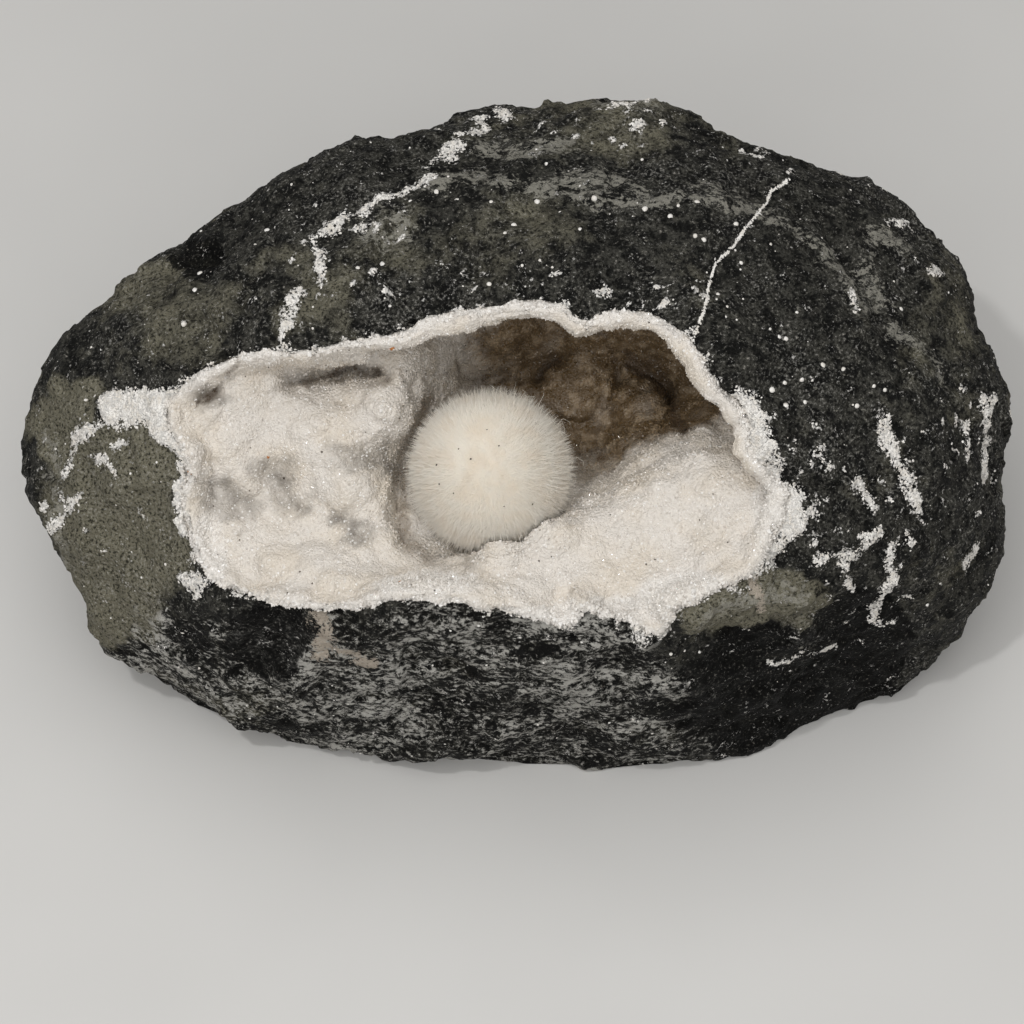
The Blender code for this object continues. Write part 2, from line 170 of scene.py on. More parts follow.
def lumpy(points, normals, smooth, lumps, turn, share=1.0):  # lumps of a few sizes, with turn for their seeds
    for size, height in lumps:
        rise = share * layeredNoise(smooth, size, 2, int(size * turn)) * height
        points = points + normals * rise[:, None]
    return points


# Meshes as arrays


def evenSurface(node, voxel, smoothing):  # a node's surface in even small four-sided faces
    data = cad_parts[node].data.copy()
    data.transform(Matrix.Scale(1 / mm, 4))
    holder = bpy.data.objects.new("to remesh", data)
    bpy.context.scene.collection.objects.link(holder)
    remesh = holder.modifiers.new("even faces", "REMESH")
    remesh.mode = "VOXEL"
    remesh.voxel_size = voxel
    fresh = bpy.data.meshes.new_from_object(holder.evaluated_get(bpy.context.evaluated_depsgraph_get()))
    points = np.zeros(len(fresh.vertices) * 3)
    fresh.vertices.foreach_get("co", points)
    faces = np.zeros(len(fresh.loops), int)
    fresh.loops.foreach_get("vertex_index", faces)
    bpy.data.objects.remove(holder)
    return relaxed(points.reshape(-1, 3), faces.reshape(-1, 4), smoothing), faces.reshape(-1, 4)


def edgesOf(faces):
    pairs = np.stack([faces, np.roll(faces, -1, 1)], 2).reshape(-1, 2)
    return np.unique(np.sort(pairs, 1), axis=0)


def spread(values, edges):  # the mean of each point's neighbours
    first, second = edges.T
    count = np.bincount(edges.ravel(), minlength=len(values))
    total = [
        np.bincount(first, column[second], len(values)) + np.bincount(second, column[first], len(values))
        for column in values.reshape(len(values), -1).T
    ]
    return (np.stack(total, 1) / np.maximum(count, 1)[:, None]).reshape(values.shape)


def blurred(marked, edges, rounds):  # from True and False to a soft 1 to 0
    values = marked.astype(float)
    for _ in range(rounds):
        values = spread(values, edges)
    return values


def relaxed(points, faces, rounds):  # smooths without shrinking
    edges = edgesOf(faces)
    for _ in range(rounds):
        points = points + 0.5 * (spread(points, edges) - points)
        points = points - 0.52 * (spread(points, edges) - points)
    return points


def faceNormals(points, faces):  # not unit length: half of it is the face's area
    corners = points[faces]
    if faces.shape[1] == 4:
        return np.cross(corners[:, 2] - corners[:, 0], corners[:, 3] - corners[:, 1])
    return np.cross(corners[:, 1] - corners[:, 0], corners[:, 2] - corners[:, 0])


def unit(vectors):
    return vectors / np.maximum(np.linalg.norm(vectors, axis=-1, keepdims=True), 1e-12)


def pointNormals(points, faces):
    normals = faceNormals(points, faces)
    total = [
        sum(np.bincount(faces[:, side], normals[:, axis], len(points)) for side in range(faces.shape[1]))
        for axis in range(3)
    ]
    return unit(np.stack(total, 1))


def softenedNormals(points, faces, under, share):  # turned part of the way to the normals under them
    own = unit(faceNormals(points, faces))
    return np.repeat(unit(own * (1 - share) + under * share)[:, None], faces.shape[1], 1)


def nearest(seeds, points):  # each point's nearest seed, and how far it is
    tree = KDTree(len(seeds))
    for number, seed in enumerate(seeds):
        tree.insert(seed, number)
    tree.balance()
    found = [tree.find(point)[1:] for point in points]
    return np.array([number for number, _ in found]), np.array([gap for _, gap in found])


def rayTree(points, faces):
    return BVHTree.FromPolygons(points.tolist(), faces.tolist())


def nodePoints(node):
    return [vertex.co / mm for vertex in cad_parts[node].data.vertices]


def nodeTree(node):  # for rays against a node of the frame
    faces = [face.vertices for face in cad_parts[node].data.polygons]
    return BVHTree.FromPolygons(nodePoints(node), faces)


def covered(points, normals, cover, reach):  # True where the cover lies within reach in front of a point
    hits = [cover.ray_cast(point, normal, reach)[0] is not None for point, normal in zip(points, normals)]
    return np.array(hits)


def eroded(marked, edges, rounds):  # takes the outer points off a marked area
    for _ in range(rounds):
        lost = ~marked[edges[:, 0]] | ~marked[edges[:, 1]]
        marked = marked.copy()
        marked[edges[lost].ravel()] = False
    return marked


def evenStart(node, other, sizes):  # a node's even surface, where it touches another node and what that hides
    points, faces = evenSurface(node, sizes["voxel"], sizes["smoothing"])
    normals = pointNormals(points, faces)
    edges = edgesOf(faces)
    touching = covered(points + normals * justAbove, normals, nodeTree(other), sizes["touchReach"])
    hidden = eroded(touching, edges, sizes["hiddenMargin"])
    report(f"{node}: {hidden.mean():.0%} of the surface is hidden by {other}")
    return points, faces, normals, edges, touching, hidden


def withoutHidden(points, faces, marks, hidden):  # drops the faces that have a hidden point
    faces = faces[~hidden[faces].any(1)]
    used = np.unique(faces)
    places = np.zeros(len(points), int)
    places[used] = np.arange(len(used))
    return points[used], places[faces], {name: values[used] for name, values in marks.items()}


def onSurface(points, faces, weights, count, chance):  # random spots on the surface, with their normals
    normals = faceNormals(points, faces)
    areas = np.linalg.norm(normals, axis=1) * weights
    chosen = chance.choice(len(faces), count, p=areas / areas.sum())
    across, down = chance.random((2, count, 1))
    corners = points[faces[chosen]]
    last = corners[:, 3] if faces.shape[1] == 4 else corners[:, 2]
    near = corners[:, 0] * (1 - across) + corners[:, 1] * across
    far = last * (1 - across) + corners[:, 2] * across
    return near * (1 - down) + far * down, unit(normals[chosen]), chosen


def acrossAxes(axes, chance):  # two directions square to each axis, turned at random
    random = chance.normal(size=axes.shape)
    first = unit(np.cross(axes, random))
    return first, np.cross(axes, first)


def ringsAround(first, second, sides):  # circles of points across two directions
    turns = np.arange(sides) * 2 * math.pi / sides
    return first[:, None] * np.cos(turns)[None, :, None] + second[:, None] * np.sin(turns)[None, :, None]


def spikes(starts, axes, radii, lengths, sides, chance):  # a pointed piece on each start
    rims = starts[:, None] + ringsAround(*acrossAxes(axes, chance), sides) * radii[:, None, None]
    tips = starts + axes * lengths[:, None]
    points = np.concatenate([rims, tips[:, None]], 1).reshape(-1, 3)
    base = np.arange(len(starts))[:, None] * (sides + 1)
    side = np.arange(sides)[None]
    tip = np.broadcast_to(base + sides, (len(starts), sides))
    faces = np.stack([base + side, base + (side + 1) % sides, tip], 2)
    return points, faces.reshape(-1, 3)


def chips(centres, normals, sizes, flatness, chance):  # small uneven eight-sided grains
    first, second = acrossAxes(normals, chance)
    spans = sizes[:, None, None] * chance.uniform(0.6, 1.3, (len(centres), 6, 1))
    arms = np.stack([first, second, -first, -second, normals * flatness, -normals * flatness], 1) * spans
    points = (centres[:, None] + arms).reshape(-1, 3)
    shape = np.array([(0, 1, 4), (1, 2, 4), (2, 3, 4), (3, 0, 4), (1, 0, 5), (2, 1, 5), (3, 2, 5), (0, 3, 5)])
    faces = (np.arange(len(centres))[:, None, None] * 6 + shape[None]).reshape(-1, 3)
    return points, faces


def makePiece(name, points, faces, material, slot, smooth=False, marks=None, cornerNormals=None):
    data = bpy.data.meshes.new(name)
    aboveFloor = np.maximum(points, [-np.inf, -np.inf, 0])
    data.from_pydata((aboveFloor * mm).tolist(), [], faces.tolist())
    data.polygons.foreach_set("use_smooth", np.full(len(faces), smooth or cornerNormals is not None))
    if cornerNormals is not None:
        data.normals_split_custom_set(cornerNormals.reshape(-1, 3).tolist())
    for label, values in (marks or {}).items():
        data.attributes.new(label, "FLOAT", "POINT").data.foreach_set("value", values.astype(np.float32))
    data.materials.append(material)
    piece = bpy.data.objects.new(name, data)
    bpy.context.scene.collection.objects.link(piece)
    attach(piece, "root")
    report(f"{name}: {len(faces) * (faces.shape[1] - 2)} triangles")
    return piece


# Short forms for shader nodes


def put(tree, kind, inputs, **settings):
    node = tree.nodes.new("ShaderNode" + kind)
    for name, value in settings.items():
        setattr(node, name, value)
    for name, value in inputs.items():
        if isinstance(value, bpy.types.NodeSocket):
            tree.links.new(value, node.inputs[name])
        else:
            node.inputs[name].default_value = value
    return node


def newMaterial(name):
    material = bpy.data.materials.new(name)
    material.use_nodes = True
    tree = material.node_tree
    return material, tree, tree.nodes["Principled BSDF"]


def millimetres(tree, stretch=(1, 1, 1)):  # the object's own coordinates in mm
    place = put(tree, "TexCoord", {}).outputs["Object"]
    return put(tree, "Mapping", {"Vector": place, "Scale": [share / mm for share in stretch]}).outputs[0]


def grain(tree, place, size, detail=2.0, roughness=0.5):
    inputs = {"Vector": place, "Scale": 1 / size, "Detail": detail, "Roughness": roughness}
    return put(tree, "TexNoise", inputs).outputs[0]


def between(tree, value, low, high, start=0.0, end=1.0):  # eases value from low..high to start..end
    inputs = {"Value": value, "From Min": low, "From Max": high, "To Min": start, "To Max": end}
    return put(tree, "MapRange", inputs, interpolation_type="SMOOTHSTEP").outputs[0]


def plus(tree, first, second):
    return put(tree, "Math", {0: first, 1: second}, operation="ADD").outputs[0]


def times(tree, first, second):
    return put(tree, "Math", {0: first, 1: second}, operation="MULTIPLY").outputs[0]


def mixed(tree, amount, under, over):
    colours = [(*c, 1.0) if isinstance(c, tuple) else c for c in (under, over)]
    return put(tree, "Mix", {0: amount, 6: colours[0], 7: colours[1]}, data_type="RGBA").outputs[2]


def painted(tree, colour, *coats):  # lays each coat's colour over what is there, by the coat's amount
    for amount, over in coats:
        colour = mixed(tree, amount, colour, over)
    return colour


def mark(tree, name):  # a number kept at each point of the mesh
    return put(tree, "Attribute", {}, attribute_name=name).outputs["Fac"]


def bumped(tree, surface, height, depth):  # depth in mm
    bump = put(tree, "Bump", {"Height": height, "Distance": depth * mm, "Strength": 1.0})
    tree.links.new(bump.outputs[0], surface.inputs["Normal"])


def joined(tree, surface, colour, rough):
    tree.links.new(colour, surface.inputs["Base Color"])
    tree.links.new(rough, surface.inputs["Roughness"])


# The basalt

basaltMarks = {  # lines with their half width, and ovals with their half sizes, in pixels
    "cracks": [  # with the depth in mm
        ([(697, 170), (730, 183), (758, 189), (796, 192), (818, 200)], 4, 0.5),
        ([(820, 205), (832, 232), (850, 258), (866, 284), (884, 312)], 8, 1.1),
        ([(872, 322), (895, 342), (918, 360)], 6, 0.8),
        ([(860, 330), (880, 362), (906, 392)], 4, 0.5),
        ([(272, 219), (274, 245), (272, 262), (256, 281)], 5, 0.6),
        ([(132, 286), (119, 309)], 5, 0.6),
        ([(133, 328), (114, 349)], 5, 0.5),
        ([(168, 272), (195, 258), (218, 240)], 9, 0.8),
        ([(892, 518), (912, 520), (925, 530)], 6, 0.7),
        ([(240, 668), (270, 682), (300, 690)], 6, 0.5),
        ([(655, 632), (700, 640), (760, 636)], 7, 0.6),
    ],
    "ridges": [  # with the height in mm
        ([(430, 188), (480, 180), (535, 188), (570, 181), (612, 172), (640, 190)], 10, 0.35),
        ([(656, 202), (700, 200), (740, 205), (790, 231), (818, 247)], 8, 0.4),
        ([(823, 250), (842, 280), (860, 310), (872, 340), (890, 372)], 8, 0.45),
        ([(864, 258), (876, 285), (890, 306)], 7, 0.4),
        ([(330, 232), (300, 236), (270, 284), (230, 300)], 9, 0.35),
        ([(690, 622), (740, 604), (800, 598)], 9, 0.45),
    ],
    "hollows": [  # with the depth in mm
        ((272, 640), (40, 36), 1.3), ((715, 650), (50, 20), 0.8), ((200, 252), (26, 14), 0.7),
    ],
    # light yellowish-brown colour and painted highlight along the ridges and ledge edges, where they catch
    # the light
    "buffAndHighlight": [
        ([(430, 188), (480, 180), (535, 190), (568, 182), (612, 172), (640, 190)], 15),
        ([(520, 192), (600, 196), (660, 203), (740, 207), (770, 213)], 10),
        ([(690, 186), (730, 196), (765, 206)], 7),
        ([(762, 216), (790, 231), (818, 247)], 7),
        ([(823, 253), (845, 282), (862, 310)], 13),
        ([(864, 260), (882, 303)], 11),
        ([(480, 146), (530, 150), (575, 142)], 11),
        ([(600, 108), (650, 112)], 12),
        ([(370, 232), (400, 224)], 18),
        ([(895, 330), (925, 350), (945, 380)], 8),
        ([(870, 235), (905, 250)], 12),
        ([(700, 612), (745, 600), (800, 590)], 12),
        ([(765, 660), (800, 655), (835, 648)], 9),
        ([(48, 440), (60, 500), (76, 560)], 8),
    ],
    "olive": [
        ((120, 520), (90, 125)), ((110, 590), (66, 66)), ((745, 605), (110, 42)), ((70, 430), (40, 60)),
    ],
    "faintOlive": [
        ((310, 300), (90, 70)), ((170, 310), (120, 80)), ((480, 230), (150, 50)), ((940, 330), (50, 140)),
        ((210, 700), (90, 34)), ((600, 130), (180, 40)),
    ],
    "salt": [
        ((400, 705), (330, 95)), ((560, 720), (160, 95)), ((190, 650), (80, 40)), ((480, 650), (190, 50)),
    ],
    "tan": [
        ([(755, 556), (757, 585), (761, 614)], 6),
        ([(318, 618), (326, 636), (322, 652)], 15),
        ([(326, 648), (350, 652), (372, 662)], 10),
        ([(745, 572), (752, 556)], 6),
    ],
    # painted shade: the undercut lower right and the hollows are darkened towards black
    "dark": [
        ((785, 700), (130, 75)), ((860, 640), (60, 60)), ((268, 630), (46, 34)), ((280, 655), (30, 26)),
        ((200, 252), (30, 16)),
    ],
}

whiteCrust = {  # lines of picture points, with the half width in pixels
    "veins": [
        ([(482, 126), (462, 142), (445, 152), (428, 167)], 8),
        ([(436, 183), (410, 190), (390, 195), (375, 203), (362, 213), (345, 222), (328, 234)], 7),
        ([(316, 240), (322, 262), (326, 282)], 7),
        ([(299, 289), (295, 310), (287, 332), (278, 354)], 6),
        ([(312, 284), (300, 300), (290, 318)], 4),
        ([(132, 404), (118, 413), (100, 425), (85, 431), (72, 443), (66, 460)], 8),
        ([(66, 460), (64, 470), (60, 482)], 3),
        ([(884, 415), (890, 440), (897, 465), (904, 490), (914, 506)], 10),
        ([(860, 478), (869, 502)], 7),
        ([(778, 546), (798, 522), (816, 506)], 7),
        ([(818, 562), (845, 548), (862, 545), (874, 522)], 9),
        ([(888, 540), (888, 575), (882, 602), (877, 624)], 7),
        ([(843, 560), (851, 588)], 6),
        ([(740, 410), (752, 432), (764, 452), (774, 476), (786, 500)], 14),
        ([(772, 492), (790, 506), (782, 528), (772, 552)], 14),
        ([(808, 452), (824, 468)], 5),
        ([(768, 664), (800, 656), (838, 650)], 4),
        ([(984, 398), (990, 440), (984, 482)], 6),
        ([(968, 420), (962, 460)], 4),
        ([(960, 566), (976, 540)], 5),
        ([(886, 226), (906, 222)], 5),
        ([(912, 268), (926, 278), (940, 274)], 4),
        ([(488, 112), (508, 116)], 5),
        ([(600, 116), (642, 112)], 4),
        ([(738, 147), (762, 154)], 3),
        ([(76, 498), (64, 522)], 8),
        ([(84, 455), (104, 460), (113, 470)], 6),
        ([(114, 448), (130, 441)], 5),
        ([(184, 574), (202, 590)], 10),
        ([(360, 232), (400, 226)], 5),
        ([(850, 296), (858, 314)], 4),
    ],
    "tongues": [
        ([(118, 408), (148, 405), (176, 408)], 24),
        ([(150, 414), (166, 430), (190, 450)], 16),
        ([(184, 470), (181, 500), (187, 530)], 8),
    ],
    "spatter": [  # ovals with small scattered spots of crust
        ((805, 500), (70, 90)), ((865, 560), (70, 90)), ((905, 470), (40, 70)), ((965, 450), (40, 110)),
        ((80, 480), (50, 70)), ((500, 290), (300, 30)), ((560, 130), (160, 24)), ((320, 240), (50, 50)),
    ],
    "rimWidth": 0.8,  # how far the crust runs out over the rock past the druse
    "rightRim": (720, 760),  # between these picture columns it comes to run further out
    "grains": 14000,
    "grainSize": (0.10, 0.26),
    "grainsFrom": 0.32,  # a place with less crust than this has no grains
    "seed": 21,
}

basalt = {
    "voxel": 0.61,
    "smoothing": 7,
    "facets": (210, 0.72, 1.0),  # how many, how flat, and the most that one moves in
    "flakes": (3000, 0.75, 0.24),
    "steps": 0.10,  # how much one flake stands above the next
    "ledges": ((12.0, 0.55), (5.0, 0.15)),  # size of the broken layers, and how high they stand
    "grain": ((6.5, 0.30), (2.6, 0.16), (1.1, 0.08)),  # size of the lumps, and their height
    "touchReach": 1.5,  # the druse covers what it lies this near to
    "hiddenMargin": 4,  # rounds of points kept inside the edge of what it covers
    "crustHeight": 0.22,
    "footHeight": 1.2,  # below this the stone keeps the flat underside of the frame
    "seed": 11,
}


def flattened(points, normals, count, flatness, most, step, chance):  # breaks the surface into facets
    seeds = chance.choice(len(points), count, replace=False)
    near, _ = nearest(points[seeds], points)
    plane = unit(normals[seeds] + chance.normal(0, 0.06, (count, 3)))[near]
    above = ((points - points[seeds][near]) * plane).sum(1)
    moved = np.clip(above * flatness, -most, most) - chance.uniform(-step, step, count)[near]
    return points - plane * moved[:, None]


def ledged(points, normals, smooth):  # broken layers with sharp edges
    for size, height in basalt["ledges"]:
        layers = layeredNoise(smooth, size, 3, int(size * 20)) * 2.5
        level = np.floor(layers)
        level += smoothStep(layers - level, 0.0, 0.25)
        points = points + normals * ((level - 0.5) * height)[:, None]
    return points


def carvedIn(points, normals, pixels, facing):  # cracks, ridges and hollows that the picture shows
    depth = np.zeros(len(points))
    pixels = wobbled(points, pixels, reach=5, size=2.4, seed=40)
    for line, width, deep in basaltMarks["cracks"]:
        depth += deep * groove(pixels, line, width)
    for line, width, high in basaltMarks["ridges"]:
        depth -= high * groove(pixels, line, width)
    for middle, size, deep in basaltMarks["hollows"]:
        depth += deep * smoothStep(inPatch(pixels, middle, size), 0.0, 0.7)
    return points - normals * (depth * facing)[:, None]


def buildBasalt():
    chance = np.random.default_rng(basalt["seed"])
    smooth, faces, normals, edges, behindDruse, hidden = evenStart("basalt_matrix", "quartz_druse", basalt)
    points = smooth
    for count, flatness, most in (basalt["facets"], basalt["flakes"]):
        points = flattened(points, normals, count, flatness, most, basalt["steps"], chance)
    pixels = toPicture(smooth)
    facing = smoothStep(normals @ faceOut, -0.1, 0.15)
    points = carvedIn(ledged(points, normals, smooth), normals, pixels, facing)
    points = lumpy(points, normals, smooth, basalt["grain"], 10)
    marks = basaltMarksAt(smooth, normals, pixels, facing)
    points = points + normals * (smoothStep(marks["crust"], 0.45, 0.9) * basalt["crustHeight"])[:, None]
    onFoot = 1 - smoothStep(smooth[:, 2], 0.2, basalt["footHeight"])
    still = np.clip(onFoot + blurred(behindDruse, edges, 3), 0, 1)[:, None]
    points = points * (1 - still) + smooth * still
    points[:, 2] = np.maximum(points[:, 2], 0.0)
    return withoutHidden(points, faces, marks, hidden)


def rimCrust(points, pixels):  # crust on the rock along the edge of the druse
    _, toDruse = nearest(nodePoints("quartz_druse"), points)
    width = whiteCrust["rimWidth"] * (1 + 1.6 * smoothStep(pixels[:, 0], *whiteCrust["rightRim"]))
    return np.exp(-((np.maximum(toDruse - 0.3, 0) / width) ** 2))


def seenCrust(points, pixels, spots):  # crust where the picture shows it
    veins = lineMarks(pixels, whiteCrust["veins"])
    veins = veins * (1.15 + layeredNoise(points, 3.0, 2, seed=86) * 0.9)
    tongues = lineMarks(pixels, whiteCrust["tongues"]) * 2.2
    spatter = smoothStep(patchMarks(pixels, whiteCrust["spatter"]), 0.0, 0.6) * spots
    return np.maximum(np.maximum(np.minimum(veins, 0.85), spatter), tongues)


def basaltMarksAt(points, normals, pixels, facing):  # as the picture shows in front, and at random elsewhere
    blotches = layeredNoise(points, 9.0, 3, seed=70)
    ragged = layeredNoise(points, 1.8, 3, seed=80)
    spots = smoothStep(layeredNoise(points, 1.5, 2, seed=87), 0.42, 0.75)
    away = 1 - facing
    broad = wobbled(points, pixels, reach=22, size=7.0, seed=88)
    pixels = wobbled(points, pixels, reach=7, size=2.6, seed=84)
    crust = facing * seenCrust(points, pixels, spots) + rimCrust(points, pixels) * 0.8
    thinLines = np.clip(1 - np.abs(layeredNoise(points, 16.0, 3, seed=93)) / 0.035, 0, 1)
    elsewhere = away * thinLines * smoothStep(layeredNoise(points, 9.0, 3, seed=90), 0.1, 0.6)
    elsewhere += away * spots * smoothStep(blotches, 0.2, 0.9) * 0.8
    salt = facing * smoothStep(patchMarks(broad, basaltMarks["salt"]), 0.0, 0.25)
    under = away * smoothStep(-normals[:, 2] + blotches * 0.6, -0.1, 0.5)
    faintOlive = patchMarks(broad, basaltMarks["faintOlive"]) * 0.45
    olive = patchMarks(broad, basaltMarks["olive"]) * 1.4 + faintOlive
    olive = facing * olive + away * smoothStep(blotches, 0.1, 0.9) * 0.7
    # that colour and painted highlight on the ridges in front, and the colour at random elsewhere
    buffAndHighlight = facing * lineMarks(pixels, basaltMarks["buffAndHighlight"]) + away * smoothStep(-blotches, 0.6, 1.2) * 0.5
    return {
        "crust": np.clip(crust + elsewhere, 0, 1.5) + ragged * 0.5,
        "salt": np.clip(salt + under * 0.8 + blotches * 0.25 * salt, 0, 1),
        "olive": np.clip(olive + blotches * 0.4, 0, 1),
        "buffAndHighlight": np.clip(buffAndHighlight + ragged * 0.5 * (buffAndHighlight > 0.02), 0, 1),
        # painted shade on the undercut lower right and in the hollows
        "dark": facing * smoothStep(patchMarks(broad, basaltMarks["dark"]), 0.0, 0.5),
        "tan": np.clip(facing * lineMarks(pixels, basaltMarks["tan"]) * (1.3 + ragged * 0.9), 0, 1),
    }


basaltFinish = {
    "charcoal": (0.010, 0.010, 0.009),
    "grey": (0.062, 0.060, 0.051),
    "olive": (0.215, 0.200, 0.145),
    "pale": (0.50, 0.485, 0.445),  # the lighter grains
    # light yellowish-brown, also used as painted highlight on the ridges
    "buffAndHighlight": (0.36, 0.345, 0.295),
    "blackPitsAndShade": (0.0020, 0.0019, 0.0016),  # black pits, and painted shade on the undercut lower right and in the hollows
    "tan": (0.52, 0.45, 0.37),
    "crust": (0.80, 0.775, 0.735),
    "creamCrust": (0.66, 0.62, 0.56),
    "shine": 0.12,
    "fine": (0.42, 4.0, 0.7),  # each noise's size in mm, detail and roughness
    "middle": (2.0, 5.0, 0.65),
    "broad": (11.0, 4.0, 0.6),
    "streaks": (0.62, 4.0, 0.75),
    "clouds": (2.6, 3.0, 0.6),
    "drifts": (7.5, 3.0, 0.6),
}


def makeBasaltMaterial():
    finish = basaltFinish
    material, tree, surface = newMaterial("charcoal basalt")
    place = millimetres(tree)
    strung = millimetres(tree, (0.62, 1.0, 1.0))  # grains drawn out from left to right
    fine, middle, broad = [grain(tree, place, *finish[name]) for name in ("fine", "middle", "broad")]
    streaks, clouds, drifts = [grain(tree, strung, *finish[name]) for name in ("streaks", "clouds", "drifts")]
    olive = plus(tree, mark(tree, "olive"), times(tree, middle, 0.9))
    speckle = plus(tree, fine, times(tree, broad, 0.3))
    # light yellowish-brown and painted highlight along the ridges
    buffAndHighlight = plus(tree, mark(tree, "buffAndHighlight"), between(tree, streaks, 0.3, 0.7, -0.75, 0.75))
    salt = plus(tree, plus(tree, streaks, times(tree, clouds, 0.4)), times(tree, drifts, 0.5))
    saltGrains = times(tree, between(tree, salt, 0.95, 1.08), mark(tree, "salt"))
    pepper = times(tree, between(tree, salt, 0.97, 0.86, 0.0, 0.95), mark(tree, "salt"))
    # painted shade: the dark patches, broken up by noise
    dark = plus(tree, mark(tree, "dark"), between(tree, middle, 0.3, 0.7, -0.4, 0.4))
    dark = times(tree, between(tree, dark, 0.25, 0.65), between(tree, fine, 0.70, 0.50, 0.5, 0.95))
    ragged = between(tree, fine, 0.25, 0.75, -0.6, 0.6)
    tan = plus(tree, mark(tree, "tan"), ragged)
    crust = between(tree, plus(tree, mark(tree, "crust"), ragged), 0.52, 0.68)
    colour = painted(
        tree,
        finish["charcoal"],
        (between(tree, middle, 0.42, 0.60), finish["grey"]),
        (between(tree, olive, 0.60, 1.20, 0.0, 0.9), finish["olive"]),
        (between(tree, speckle, 0.70, 0.84, 0.0, 0.5), finish["pale"]),
        (between(tree, fine, 0.50, 0.38, 0.0, 0.85), finish["blackPitsAndShade"]),
        (between(tree, buffAndHighlight, 0.50, 0.90, 0.0, 0.75), finish["buffAndHighlight"]),
        (saltGrains, finish["pale"]),
        (pepper, finish["blackPitsAndShade"]),
        # painted shade of the dark patches
        (dark, finish["blackPitsAndShade"]),
        (between(tree, tan, 0.4, 0.8, 0.0, 0.9), finish["tan"]),
        (crust, finish["crust"]),
    )
    height = plus(tree, plus(tree, times(tree, middle, 2.2), fine), times(tree, crust, 0.5))
    joined(tree, surface, colour, between(tree, middle, 0.3, 0.7, 0.58, 0.82))
    surface.inputs["Specular IOR Level"].default_value = finish["shine"]
    bumped(tree, surface, height, 0.60)
    return material


def makeCrustMaterial():
    material, tree, surface = newMaterial("white crust grains")
    place = millimetres(tree)
    cream = between(tree, grain(tree, place, 1.2, 3.0), 0.35, 0.7)
    colour = mixed(tree, cream, basaltFinish["crust"], basaltFinish["creamCrust"])
    joined(tree, surface, colour, between(tree, grain(tree, place, 0.2), 0.3, 0.7, 0.35, 0.6))
    bumped(tree, surface, grain(tree, place, 0.12, 2.0), 0.03)
    return material


def addCrustGrains(points, faces, marks):
    chance = np.random.default_rng(whiteCrust["seed"])
    weights = np.clip(marks["crust"][faces].mean(1) - whiteCrust["grainsFrom"], 0, 0.5)
    spots, normals, _ = onSurface(points, faces, weights, whiteCrust["grains"], chance)
    sizes = chance.uniform(*whiteCrust["grainSize"], len(spots))
    tilted = unit(normals + chance.normal(0, 0.25, normals.shape))
    grainPoints, grainFaces = chips(spots, tilted, sizes, 0.55, chance)
    makePiece("white_crust_grains", grainPoints, grainFaces, crustMaterial, "druse")


# The thin white vein and the round filled bubbles, placed through the picture

thinVein = {
    "line": [
        (791, 169), (784, 184), (771, 191), (768, 200), (756, 216), (745, 228), (735, 245),
        (722, 257), (715, 265), (710, 280), (707, 300), (701, 318), (695, 334),
    ],
    "halfWidth": 0.16,
    "grainsPerMm": 42,
    "grainSize": (0.07, 0.17),
    "seed": 31,
}

bubbles = {
    "seen": [
        (645, 209), (670, 216), (678, 206), (697, 202), (736, 224), (741, 263), (695, 236), (704, 240),
        (718, 294), (779, 337), (786, 339), (823, 365), (843, 369), (785, 383), (802, 380), (772, 390),
        (786, 405), (762, 398), (805, 402), (874, 386), (885, 390), (901, 309), (857, 406), (505, 233),
        (514, 225), (580, 229), (537, 202), (594, 199), (546, 164), (642, 160), (267, 230), (255, 245),
        (200, 273), (195, 290), (390, 306), (489, 284), (491, 202), (358, 268), (382, 264), (292, 185),
        (86, 400), (95, 396), (184, 324), (436, 192), (457, 200),
    ],
    "seenSize": (0.24, 0.42),  # radius
    "scattered": 620,
    "scatteredSize": (0.09, 0.26),
    "seed": 41,
}


def seenFrom(tree, x, y):  # where the camera sees the surface through a picture point
    place, normal, _, _ = tree.ray_cast(cameraPlace, throughPicture(x, y))
    return (None, None) if place is None else (np.array(place), np.array(normal))


def seenSpots(tree, pixels):  # leaves out the picture points where the camera looks past the surface
    seen = [seenFrom(tree, *point) for point in pixels]
    return [(place, normal) for place, normal in seen if place is not None]


def withScattered(seen, spots, normals):  # one list of places, one of directions
    places = np.concatenate([[place for place, _ in seen], spots])
    return places, np.concatenate([[normal for _, normal in seen], normals])


def addThinVein(tree):
    chance = np.random.default_rng(thinVein["seed"])
    corners = [seenFrom(tree, *point) for point in thinVein["line"]]
    spots, normals = [], []
    for (start, startNormal), (end, endNormal) in zip(corners[:-1], corners[1:]):
        length = np.linalg.norm(end - start)
        for share in chance.random(int(length * thinVein["grainsPerMm"])):
            swelling = 0.7 + 0.6 * math.sin(share * 3 + length * 5) ** 2
            across = chance.normal(0, thinVein["halfWidth"] * swelling / 1.7, 3)
            spots.append(start + (end - start) * share + across)
            normals.append(startNormal * (1 - share) + endNormal * share)
    places = np.array([tree.find_nearest(spot)[0] for spot in spots])
    sizes = chance.uniform(*thinVein["grainSize"], len(places))
    points, faces = chips(places, unit(np.array(normals)), sizes, 0.6, chance)
    makePiece("thin_white_vein", points, faces, crustMaterial, "druse")


